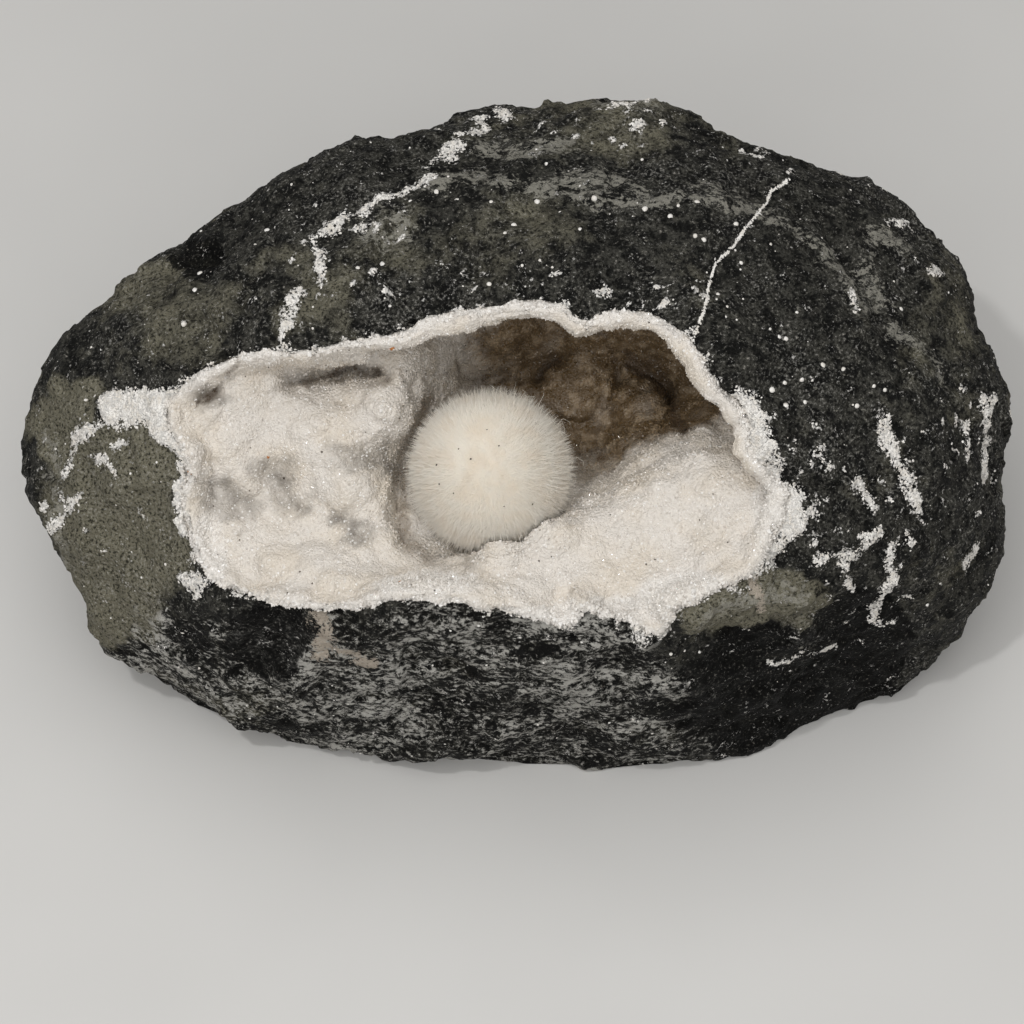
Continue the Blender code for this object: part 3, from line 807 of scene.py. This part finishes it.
def domes(centres, normals, radii, chance):  # low round bumps of two rings and a top
    sides = 8
    ring = ringsAround(*acrossAxes(normals, chance), sides) * radii[:, None, None]
    ring = ring * chance.uniform(0.85, 1.15, (len(centres), sides, 1))
    outer = centres[:, None] + ring - normals[:, None] * 0.08
    inner = centres[:, None] + ring * 0.72 + normals[:, None] * radii[:, None, None] * 0.3
    top = centres + normals * radii[:, None] * 0.42
    points = np.concatenate([outer, inner, top[:, None]], 1).reshape(-1, 3)
    side = np.arange(sides)
    after = (side + 1) % sides
    walls = [np.stack([side, after, after + sides], 1), np.stack([side, after + sides, side + sides], 1)]
    cap = np.stack([side + sides, after + sides, np.full(sides, sides * 2)], 1)
    shape = np.concatenate([*walls, cap])
    faces = (np.arange(len(centres))[:, None, None] * (sides * 2 + 1) + shape[None]).reshape(-1, 3)
    return points, faces


def addBubbles(tree, points, faces, marks):
    chance = np.random.default_rng(bubbles["seed"])
    seen = seenSpots(tree, bubbles["seen"])
    seenRadii = chance.uniform(*bubbles["seenSize"], len(seen))
    crust = marks["crust"][faces].mean(1)
    dark = marks["dark"][faces].mean(1)
    weights = np.where(crust < 0.3, 1.0, 0.0) * np.where(dark < 0.3, 1.0, 0.15)
    spots, normals, _ = onSurface(points, faces, weights, bubbles["scattered"], chance)
    low, high = bubbles["scatteredSize"]
    radii = low + (high - low) * chance.random(len(spots)) ** 2
    centres, ways = withScattered(seen, spots, normals)
    bumpPoints, bumpFaces = domes(centres, ways, np.concatenate([seenRadii, radii]), chance)
    makePiece("filled_bubbles", bumpPoints, bumpFaces, crustMaterial, "druse", smooth=True)


# The white druse

druse = {
    "voxel": 0.40,
    "smoothing": 5,
    "knobs": ((300, 3.4, 0.75), (1700, 1.5, 0.30)),  # how many, radius and height of the rounded knobs
    "sugar": ((1.1, 0.06), (2.4, 0.10)),  # size of the lumps, and their height
    "grownOver": 0.36,  # how far the crust swells to meet the rock
    "frill": ((1.5, 0.55), (4.5, 0.75)),  # size of the rim's teeth and scallops, and their height
    "touchReach": 1.6,
    "hiddenMargin": 5,
    "clearOfBall": 0.12,
    "crystals": {  # how many, half width, sides, how softly they are lit, roughness
        "druse_crystals": (25000, (0.12, 0.26), 5, 0.30, (0.12, 0.35)),
        "glassy_crystals": (13000, (0.17, 0.32), 6, 0.05, (0.04, 0.14)),
    },
    "seed": 12,
    "crystalSeed": 51,
}

druseMarks = {
    # brown staining and painted shade in the deep pocket under the upper lip
    "stainAndShade": [((600, 385), (150, 105)), ((534, 344), (82, 46)), ((690, 400), (50, 60))],
    # painted shadow of the ball on the druse to its left and below it, in the brown of the staining
    "ballShadowAndStain": [
        ([(428, 400), (416, 430), (410, 460), (402, 490), (402, 520), (412, 548), (440, 562)], 13),
    ],
    "shade": [
        ((226, 500), (30, 22)), ((283, 484), (34, 36)), ((345, 527), (34, 16)), ((365, 456), (44, 20)),
        ((215, 395), (30, 14)),
    ],
    "seams": [  # line, half width in pixels, how far in, in mm, and how much painted shade darkens it
        ([(292, 382), (312, 377), (330, 370), (352, 367), (380, 375)], 9, 4.2, 0.6),
        ([(204, 397), (216, 392)], 6, 1.6, 0.9),
        ([(216, 389), (226, 377), (240, 360)], 4, 0.8, 0.5),
        ([(205, 490), (225, 493), (240, 510)], 13, 0.9, 0.0),
        ([(280, 455), (272, 480), (282, 498)], 9, 0.9, 0.0),
        ([(340, 450), (362, 458), (385, 448)], 7, 0.4, 0.0),
        ([(430, 392), (420, 425), (411, 455), (401, 482), (396, 515), (404, 540)], 8, 2.6, 0.3),
        ([(537, 380), (544, 366), (557, 360)], 6, 2.4, 1.0),
        ([(456, 366), (476, 379), (502, 379)], 6, 1.6, 0.6),
        ([(522, 342), (531, 362), (522, 378)], 6, 1.2, 0.5),
        ([(611, 345), (616, 365), (618, 382)], 5, 1.2, 0.6),
        ([(630, 358), (656, 372), (672, 392)], 11, 2.6, 1.0),
        ([(672, 398), (676, 415), (683, 432)], 6, 2.0, 1.0),
        ([(601, 390), (596, 412)], 4, 0.9, 0.5),
        ([(560, 425), (585, 448), (616, 462)], 7, 1.2, 0.5),
    ],
    # painted highlight: patches on the front and side edges of the druse, made whiter where they catch the
    # light
    "highlightPatches": [
        ((425, 584), (60, 18)), ((600, 612), (75, 18)), ((690, 596), (60, 30)), ((772, 520), (26, 46)),
        ((205, 560), (24, 50)),
    ],
    "mounds": [  # middle, size in pixels, how far out, in mm
        ((510, 335), (32, 24), 2.0), ((445, 358), (22, 16), 1.6), ((446, 396), (28, 22), 2.2),
        ((578, 388), (36, 36), 2.8), ((640, 405), (28, 30), 2.2), ((702, 415), (20, 18), 1.8),
        ((590, 345), (26, 14), 1.6), ((620, 440), (26, 16), 1.2), ((375, 410), (40, 26), 0.8),
        ((345, 490), (30, 20), 0.7), ((370, 535), (34, 22), 0.6), ((412, 584), (40, 15), 0.7),
        ((690, 455), (34, 16), 0.8), ((640, 480), (30, 16), 0.7),
    ],
    "lip": [
        (410, 566), (437, 556), (463, 553), (489, 541), (504, 539),
        (522, 541), (533, 529), (545, 520), (558, 508), (572, 492),
    ],
    "lipSlope": (26, 62),  # it starts and ends to meet the floor this many pixels out from its crest
}


def knobbed(points, normals, knobs, chance):
    for count, radius, height in knobs:
        seeds = points[chance.choice(len(points), count, replace=False)]
        _, gap = nearest(seeds, points)
        rise = np.sqrt(np.clip(1 - (gap / radius) ** 2, 0, 1)) - 0.5
        points = points + normals * (height * rise)[:, None]
    return points


def buildDruse():
    chance = np.random.default_rng(druse["seed"])
    smooth, faces, normals, edges, againstRock, hidden = evenStart("quartz_druse", "basalt_matrix", druse)
    points = knobbed(shapedAsSeen(smooth, normals), normals, druse["knobs"], chance)
    points = lumpy(points, normals, smooth, druse["sugar"], 10)
    towardRock = againstRock.astype(float)[:, None]
    points = points * (1 - towardRock) + (smooth + normals * druse["grownOver"]) * towardRock
    rim = blurred(againstRock, edges, 6)
    rim = 4 * rim * (1 - rim)
    points = keptOffBall(lumpy(points, normals, smooth, druse["frill"], 30, rim))
    marks = druseMarksAt(smooth, toPicture(smooth), rim)
    return withoutHidden(points, faces, marks, hidden)


def keptOffBall(points):
    fromBall = points - ballMiddle
    gap = np.linalg.norm(fromBall, axis=1)[:, None]
    least = ballRadius + druse["clearOfBall"]
    return np.where(gap < least, ballMiddle + fromBall / gap * least, points)


def shapedAsSeen(points, normals):  # with the seams, the mounds and the lip in front of the ball
    pixels = wobbled(points, toPicture(points), reach=4, size=2.0, seed=57)
    facing = smoothStep(normals @ faceOut, -0.2, 0.2)
    out = np.zeros(len(points))
    for line, width, deep, _ in druseMarks["seams"]:
        out -= deep * groove(pixels, line, width)
    for middle, size, high in druseMarks["mounds"]:
        out += high * np.sqrt(inPatch(pixels, middle, size))
    points = points + faceOut * (out * facing)[:, None]
    return points + faceOut * lipHeight(points)[:, None]


def lipHeight(points):  # the druse that has grown up against the lower right of the ball
    ballPixel = toPicture(ballMiddle[None])[0]
    line = np.array(druseMarks["lip"], float) - ballPixel
    angles = np.arctan2(line[:, 1], line[:, 0])
    order = np.argsort(angles)
    fromBall = wobbled(points, toPicture(points), reach=3, size=1.6, seed=60) - ballPixel
    angle = np.arctan2(fromBall[:, 1], fromBall[:, 0])
    crest = np.interp(angle, angles[order], np.linalg.norm(line, axis=1)[order])
    past = np.linalg.norm(fromBall, axis=1) - crest
    across = crest * look["pixel"]
    crestOut = look["ballOnFace"][2] + np.sqrt(np.clip((ballRadius + 0.2) ** 2 - across**2, 2.0, None))
    rise = np.maximum(crestOut - 0.012 * past - onFace(points)[:, 2], 0)
    first, last = angles.min(), angles.max()
    inSpan = smoothStep(angle, first, first + 0.5) * (1 - smoothStep(angle, last - 0.4, last))
    return rise * inSpan * smoothStep(past, -3, 0) * (1 - smoothStep(past, *druseMarks["lipSlope"]))


def druseMarksAt(points, pixels, rim):
    depth = -onFace(points)[:, 2]
    uneven = wobbled(points, pixels, reach=7, size=3.0, seed=59)
    # the deeper in the pocket, the more of it: brown staining and painted shade
    stainAndShade = smoothStep(patchMarks(uneven, druseMarks["stainAndShade"]), 0.0, 0.75) * smoothStep(depth, -8.0, 1.0)
    # painted shadow of the ball, in the brown of the staining
    ballShadowAndStain = 0.5 * lineMarks(uneven, druseMarks["ballShadowAndStain"]) * smoothStep(depth, -17.0, -10.0)
    stainAndShade = np.maximum(stainAndShade, ballShadowAndStain)
    # painted shade in the seams and in the slot under the left lobe's rim
    seamShade = np.max([share * groove(uneven, line, width) for line, width, _, share in druseMarks["seams"]], 0)
    # painted highlight on the front and side edges
    highlightPatches = smoothStep(patchMarks(uneven, druseMarks["highlightPatches"]), 0.0, 0.5) * 0.8
    return {
        "stainAndShade": np.clip(stainAndShade + layeredNoise(points, 4.0, 3, seed=55) * 0.2 * stainAndShade, 0, 1),
        "shade": patchMarks(wobbled(points, pixels, reach=20, size=5.0, seed=63), druseMarks["shade"]),
        "seamShade": smoothStep(seamShade + layeredNoise(points, 1.8, 3, seed=62) * 0.3, 0.3, 0.9),
        "rim": np.maximum(rim, highlightPatches),
    }


druseFinish = {
    "white": (0.67, 0.625, 0.57),
    "cream": (0.65, 0.585, 0.50),
    "grey": (0.25, 0.225, 0.195),
    # brown staining and painted shade in the pocket, dark and pale
    "stainAndShadeDark": (0.120, 0.076, 0.034),
    "stainAndShadePale": (0.27, 0.20, 0.125),
    # painted shade in the seams and the slot
    "dirtAndShade": (0.085, 0.055, 0.030),
    "rim": (0.74, 0.71, 0.67),
    "clearGrain": (0.50, 0.46, 0.415),  # the glassier and the whiter crystals
    "whiteGrain": (0.84, 0.82, 0.79),
}


def druseColour(tree, place):
    patchy = between(tree, grain(tree, place, 2.2, 3.0), 0.35, 0.65, 0.5, 1.0)
    return painted(
        tree,
        druseFinish["white"],
        (between(tree, grain(tree, place, 6.0, 3.0), 0.35, 0.7), druseFinish["cream"]),
        (times(tree, mark(tree, "shade"), patchy), druseFinish["grey"]),
        # brown staining and painted shade in the pocket
        (mark(tree, "stainAndShade"), stainAndShadeColour(tree, place)),
        # painted shade in the seams and the slot
        (times(tree, mark(tree, "seamShade"), 0.9), druseFinish["dirtAndShade"]),
        # whiter rim, with the painted highlight patches added to it
        (times(tree, mark(tree, "rim"), 0.8), druseFinish["rim"]),
    )


def stainAndShadeColour(tree, place):  # smoky brown with paler lumps, a brown staining that also stands for painted shade deep in the pocket
    lumps = between(tree, grain(tree, place, 1.7, 3.0), 0.46, 0.66)
    return mixed(tree, lumps, druseFinish["stainAndShadeDark"], druseFinish["stainAndShadePale"])


def makeDruseMaterial():
    material, tree, surface = newMaterial("white druse")
    place = millimetres(tree)
    fine = grain(tree, place, 0.2, 2.0)
    sugar = put(tree, "TexVoronoi", {"Vector": place, "Scale": 1 / 0.45}).outputs["Distance"]
    creamy = between(tree, fine, 0.5, 0.25, 0.0, 0.25)
    colour = mixed(tree, creamy, druseColour(tree, place), druseFinish["cream"])
    joined(tree, surface, colour, between(tree, fine, 0.3, 0.7, 0.25, 0.55))
    bumped(tree, surface, plus(tree, fine, times(tree, sugar, -1.0)), 0.16)
    surface.inputs["Specular IOR Level"].default_value = 0.5
    return material


def makeCrystalMaterial(name, roughness):
    material, tree, surface = newMaterial(name)
    place = millimetres(tree)
    fine = grain(tree, place, 0.3, 2.0)
    tone = mark(tree, "tone")
    paler = between(tree, tone, 0.55, 1.0, 0.0, 0.8)
    colour = painted(
        tree,
        druseColour(tree, place),
        (between(tree, tone, 0.30, 0.0, 0.0, 0.6), druseFinish["clearGrain"]),
        (between(tree, tone, 0.70, 1.0, 0.0, 0.8), druseFinish["whiteGrain"]),
        # brown staining and painted shade in the pocket
        (mark(tree, "stainAndShade"), mixed(tree, paler, stainAndShadeColour(tree, place), druseFinish["stainAndShadePale"])),
        # painted shade in the seams and the slot
        (mark(tree, "seamShade"), druseFinish["dirtAndShade"]),
    )
    joined(tree, surface, colour, between(tree, fine, 0.3, 0.7, *roughness))
    bumped(tree, surface, fine, 0.03)
    surface.inputs["IOR"].default_value = 1.54
    return material


def addCrystals(name, points, faces, marks, kind, seed):
    count, (low, high), sides, softness, roughness = kind
    chance = np.random.default_rng(seed)
    rim = marks["rim"][faces].mean(1)
    spots, normals, chosen = onSurface(points, faces, 1 + rim * 0.6, count, chance)
    widths = low + (high - low) * chance.random(len(spots)) ** 1.8
    patchy = smoothStep(softNoise(spots, 5.0, seed=66), -0.5, 0.6)
    widths = widths * (0.75 + 0.4 * patchy + 0.35 * rim[chosen])
    axes = unit(normals + chance.normal(0, 0.30, normals.shape))
    lengths = widths * chance.uniform(0.9, 1.6, len(spots)) * (1 + 0.2 * rim[chosen])
    starts = spots - axes * widths[:, None] * 0.45
    clear = np.linalg.norm(starts + axes * lengths[:, None] - ballMiddle, axis=1) > ballRadius - 0.3
    tipPoints, tipFaces = spikes(starts[clear], axes[clear], widths[clear], lengths[clear], sides, chance)
    soft = softenedNormals(tipPoints, tipFaces, np.repeat(normals[clear], sides, 0), softness)
    corners = faces[chosen[clear], 0]
    fixed = {label: np.repeat(values[corners], sides + 1) for label, values in marks.items()}
    fixed["tone"] = np.repeat(chance.random(clear.sum()), sides + 1)
    material = makeCrystalMaterial(name.replace("_", " "), roughness)
    makePiece(name, tipPoints, tipFaces, material, "druse", marks=fixed, cornerNormals=soft)


# The puffball

puffball = {
    "coreRadius": 9.8,
    "coats": {  # how many fibres, how far they reach from the middle, and their half width
        "okenite_fibres_a": (42000, (10.0, 10.55), (0.024, 0.042)),
        "okenite_fibres_b": (42000, (10.0, 10.55), (0.024, 0.042)),
        "okenite_bristles": (9500, (10.6, 11.7), (0.040, 0.060)),
    },
    "asBall": 0.52,  # how far a fibre is lit like the ball's surface under it
    "lean": 0.12,  # how much a fibre leans at random
    "tuftLean": 0.20,  # how much neighbours lean together
    "tuftSize": 2.6,
    "strays": 46,  # loose curly fibres, most of them at the upper right
    "strayRadius": 0.045,
    "seed": 91,
    "straySeed": 61,
    "specks": [
        (459, 449), (499, 446), (471, 459), (437, 465), (440, 484),
        (454, 493), (532, 504), (504, 506), (487, 430),
    ],
    "white": (0.975, 0.945, 0.885),
    "cream": (0.96, 0.91, 0.83),
    "shadow": (0.70, 0.61, 0.50),
    "translucent": 0.5,
}


def ballDirections(count, chance):  # fewer fibres on the side that nestles in the druse
    ways = unit(chance.normal(size=(count * 2, 3)))
    keepChance = np.where(ways @ faceOut > -0.35, 1.0, 0.45)
    return ways[chance.random(len(ways)) < keepChance][:count]


def addFibres(name, count, reach, halfWidth, seed):
    chance = np.random.default_rng(seed)
    ways = ballDirections(count, chance)
    rootRadius = puffball["coreRadius"] * 0.985
    starts = ballMiddle + ways * rootRadius
    tuft = np.stack([softNoise(starts, puffball["tuftSize"], turn) for turn in (301, 302, 303)], 1)
    axes = unit(ways + tuft * puffball["tuftLean"] + chance.normal(0, puffball["lean"], ways.shape))
    tips = chance.uniform(*reach, len(ways)) + softNoise(starts, 3.5, seed=311) * 0.15
    widths = chance.uniform(*halfWidth, len(ways))
    points, faces = spikes(starts, axes, widths, tips - rootRadius, 3, chance)
    soft = softenedNormals(points, faces, np.repeat(ways, 3, 0), puffball["asBall"])
    makePiece(name, points, faces, fibreMaterial, "okenite", cornerNormals=soft)


def buildCore():
    rings, sides = 40, 80
    downs = np.linspace(0, math.pi, rings + 1)[1:-1, None]
    turns = np.arange(sides) * 2 * math.pi / sides
    ways = [np.sin(downs) * np.cos(turns), np.sin(downs) * np.sin(turns), np.repeat(np.cos(downs), sides, 1)]
    ways = np.concatenate([np.stack(ways, 2).reshape(-1, 3), [(0, 0, 1)], [(0, 0, -1)]])
    uneven = softNoise(ways * 10, 2.0, seed=320)[:, None] * 0.12
    points = ballMiddle + ways * (puffball["coreRadius"] + uneven)
    top, bottom, last = len(ways) - 2, len(ways) - 1, (rings - 2) * sides
    faces = []
    for side in range(sides):
        after = (side + 1) % sides
        for above in range(0, last, sides):
            below = above + sides
            faces.append((above + side, below + side, below + after))
            faces.append((above + side, below + after, above + after))
        faces.append((top, side, after))
        faces.append((last + side, bottom, last + after))
    return points, np.array(faces)


def strand(start, way, length, curl, chance):  # the points of one loose curly fibre
    steps = 12
    points = [start]
    for _ in range(steps):
        way = unit(way + chance.normal(0, curl, 3))
        points.append(points[-1] + way * length / steps)
    return np.array(points)


def thread(path, radius):  # a three-sided tube that narrows along the path
    along = unit(np.gradient(path, axis=0))
    side = unit(np.cross(along, [0.3, 0.5, 0.8]))
    thin = radius * np.linspace(1, 0.35, len(path))[:, None, None]
    points = (path[:, None] + ringsAround(side, np.cross(along, side), 3) * thin).reshape(-1, 3)
    faces = []
    for step in range(len(path) - 1):
        for corner in range(3):
            here, after = step * 3 + corner, step * 3 + (corner + 1) % 3
            faces += [(here, after, after + 3), (here, after + 3, here + 3)]
    return points, faces


def gathered(parts):  # joins lists of points and faces
    allPoints, allFaces, count = [], [], 0
    for points, faces in parts:
        allPoints.append(points)
        allFaces.append(np.array(faces) + count)
        count += len(points)
    return np.concatenate(allPoints), np.concatenate(allFaces)


def addStrays():
    chance = np.random.default_rng(puffball["straySeed"])
    upperRight = unit(faceRight * 0.8 + faceUp * 0.75 + faceOut * 0.25)
    parts = []
    for number in range(puffball["strays"]):
        toward = upperRight if number % 3 else unit(chance.normal(size=3) + faceOut)
        way = unit(toward + chance.normal(0, 0.35, 3))
        start = ballMiddle + way * (puffball["coreRadius"] + 0.8)
        path = strand(start, way, chance.uniform(1.4, 3.2), 0.5, chance)
        parts.append(thread(path, puffball["strayRadius"]))
    makePiece("stray_fibres", *gathered(parts), fibreMaterial, "okenite", smooth=True)


def makeFibreMaterial():
    material, tree, surface = newMaterial("okenite fibres")
    place = millimetres(tree)
    fine = grain(tree, place, 0.25, 2.0)
    colour = painted(
        tree,
        puffball["white"],
        (between(tree, grain(tree, place, 2.5, 3.0), 0.35, 0.7), puffball["cream"]),
        (between(tree, fine, 0.35, 0.2, 0.0, 0.4), puffball["shadow"]),
    )
    joined(tree, surface, colour, between(tree, fine, 0.3, 0.7, 0.55, 0.8))
    surface.inputs["Specular IOR Level"].default_value = 0.3
    through = put(tree, "BsdfTranslucent", {"Color": colour})
    shares = {0: puffball["translucent"], 1: surface.outputs[0], 2: through.outputs[0]}
    both = put(tree, "MixShader", shares)
    tree.links.new(both.outputs[0], tree.nodes["Material Output"].inputs["Surface"])
    return material


# Small dirt and rust

dirtAndShade = {
    "specks": [
        (597, 495), (610, 515), (539, 561), (452, 556), (617, 426), (284, 478), (330, 540), (262, 420),
        (700, 520), (655, 560), (240, 540), (300, 572), (226, 552), (366, 432), (322, 452),
    ],
    "speckSize": (0.09, 0.16),
    "speckColours": ((0.03, 0.022, 0.015), (0.09, 0.06, 0.035)),
    "ballReach": 10.45,  # how far from the ball's middle its specks lie
    "scattered": 80,
    "seed": 71,
}

rust = {
    "spots": [  # with the radius in mm
        ((148, 421), 0.55), ((392, 349), 0.32), ((268, 457), 0.16), ((190, 473), 0.3), ((183, 585), 0.34),
        ((400, 582), 0.16),
    ],
    "grainsPerMm": 80,
    "grainSize": (0.08, 0.2),
    "colours": ((0.30, 0.10, 0.02), (0.50, 0.20, 0.05)),
    "seed": 81,
}


def plainGrainMaterial(name, colours, roughness):
    material, tree, surface = newMaterial(name)
    tint = grain(tree, millimetres(tree), 0.3, 3.0)
    colour = mixed(tree, between(tree, tint, 0.35, 0.65), *colours)
    joined(tree, surface, colour, between(tree, tint, 0.3, 0.7, roughness - 0.1, roughness + 0.1))
    bumped(tree, surface, tint, 0.04)
    return material


def onBall(x, y):  # where the camera sees the tips of the ball's short fibres
    way = throughPicture(x, y)
    fromMiddle = cameraPlace - ballMiddle
    near = -(way @ fromMiddle)
    inside = near**2 - fromMiddle @ fromMiddle + dirtAndShade["ballReach"] ** 2
    place = cameraPlace + way * (near - math.sqrt(max(inside, 0.0)))
    return place, unit(place - ballMiddle)


def addDirt(tree, points, faces):
    chance = np.random.default_rng(dirtAndShade["seed"])
    seen = seenSpots(tree, dirtAndShade["specks"]) + [onBall(*point) for point in puffball["specks"]]
    spots, normals, _ = onSurface(points, faces, np.ones(len(faces)), dirtAndShade["scattered"], chance)
    centres, ways = withScattered(seen, spots, normals)
    sizes = chance.uniform(*dirtAndShade["speckSize"], len(centres))
    speckPoints, speckFaces = chips(centres + ways * 0.12, ways, sizes, 0.8, chance)
    material = plainGrainMaterial("dark specks", dirtAndShade["speckColours"], 0.7)
    makePiece("dark_specks", speckPoints, speckFaces, material, "druse")


def addRust(tree):
    chance = np.random.default_rng(rust["seed"])
    centres, ways, sizes = [], [], []
    for point, reach in rust["spots"]:
        place, normal = seenFrom(tree, *point)
        if place is None:
            continue
        count = int(rust["grainsPerMm"] * reach)
        centres += list(place + chance.normal(0, reach / 2, (count, 3)))
        ways += [normal] * count
        sizes += list(chance.uniform(*rust["grainSize"], count))
    onTop = [tree.find_nearest(centre)[0] for centre in centres]
    rustPoints, rustFaces = chips(np.array(onTop), unit(np.array(ways)), np.array(sizes), 0.6, chance)
    material = plainGrainMaterial("rust", rust["colours"], 0.75)
    makePiece("rust_spots", rustPoints, rustFaces, material, "druse")


# Floor, light and camera

studio = {
    "floor": (0.62, 0.61, 0.59),
    "floorSize": 4.0,  # metres
    "sky": 0.16,
    "skyColour": (1.0, 0.99, 0.97, 1.0),
    "lights": {  # place in metres, watts, and side in metres
        "overhead softbox": ((-0.02, 0.06, 0.62), 1.5, 0.55),
        "front softbox": ((-0.03, -0.56, 0.60), 4.3, 0.85),
        "glint lamp": ((-0.20, -0.25, 0.75), 1.1, 0.03),
    },
}


def addFloor():
    half = studio["floorSize"] / 2
    corners = [(-half, -half, 0), (half, -half, 0), (half, half, 0), (-half, half, 0)]
    data = bpy.data.meshes.new("floor")
    data.from_pydata(corners, [], [(0, 1, 2, 3)])
    material, tree, surface = newMaterial("pale floor")
    clouds = between(tree, grain(tree, millimetres(tree), 40.0, 2.0), 0.3, 0.7)
    darker = tuple(share * 0.97 for share in studio["floor"])
    tree.links.new(mixed(tree, clouds, studio["floor"], darker), surface.inputs["Base Color"])
    surface.inputs["Roughness"].default_value = 0.8
    data.materials.append(material)
    floor = bpy.data.objects.new("floor", data)
    bpy.context.scene.collection.objects.link(floor)


def addLight(name, place, watts, side):  # a square soft light that looks at the ball
    lamp = bpy.data.lights.new(name, "AREA")
    lamp.energy = watts
    lamp.size = side
    light = bpy.data.objects.new(name, lamp)
    light.location = place
    light.rotation_mode = "QUATERNION"
    light.rotation_quaternion = (Vector(ballMiddle * mm) - light.location).to_track_quat("-Z", "Y")
    bpy.context.scene.collection.objects.link(light)


def addStudio():
    addFloor()
    for name, light in studio["lights"].items():
        addLight(name, *light)
    world = bpy.data.worlds.new("studio")
    world.use_nodes = True
    background = world.node_tree.nodes["Background"]
    background.inputs["Color"].default_value = studio["skyColour"]
    background.inputs["Strength"].default_value = studio["sky"]
    bpy.context.scene.world = world
    bpy.context.scene.view_settings.view_transform = "Standard"


def addCamera():
    data = bpy.data.cameras.new("camera")
    data.sensor_width = look["filmWidth"]
    data.lens = look["filmWidth"] * look["distance"] / (look["pictureSide"] * look["pixel"])
    data.clip_start, data.clip_end = 0.05, 20.0
    camera = bpy.data.objects.new("camera", data)
    camera.location = Vector(cameraPlace * mm)
    ahead = throughPicture(look["pictureSide"] / 2, look["pictureSide"] / 2)
    right = unit(np.cross(ahead, faceUp))
    up = np.cross(right, ahead)
    turn = Matrix([right, up, -ahead]).transposed()
    camera.rotation_mode = "QUATERNION"
    camera.rotation_quaternion = turn.to_quaternion()
    bpy.context.scene.collection.objects.link(camera)
    bpy.context.scene.camera = camera


addStudio()
addCamera()

crustMaterial = makeCrustMaterial()
fibreMaterial = makeFibreMaterial()

rockPoints, rockFaces, rockMarks = buildBasalt()
rock = makePiece("basalt_nodule", rockPoints, rockFaces, makeBasaltMaterial(), "basalt", True, rockMarks)
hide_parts("basalt_matrix")
rockTree = rayTree(rockPoints, rockFaces)
addCrustGrains(rockPoints, rockFaces, rockMarks)
addThinVein(rockTree)
addBubbles(rockTree, rockPoints, rockFaces, rockMarks)

crustPoints, crustFaces, crustMarks = buildDruse()
crust = makePiece("druse_crust", crustPoints, crustFaces, makeDruseMaterial(), "druse", True, crustMarks)
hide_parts("quartz_druse")
druseTree = rayTree(crustPoints, crustFaces)
for number, (name, kind) in enumerate(druse["crystals"].items()):
    addCrystals(name, crustPoints, crustFaces, crustMarks, kind, druse["crystalSeed"] + number)
addDirt(druseTree, crustPoints, crustFaces)
addRust(druseTree)

core = makePiece("puffball_core", *buildCore(), fibreMaterial, "okenite", True)
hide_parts("okenite_puffball")
for number, (name, coat) in enumerate(puffball["coats"].items()):
    addFibres(name, *coat, puffball["seed"] + number)
addStrays()

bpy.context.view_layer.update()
report("all pieces made")
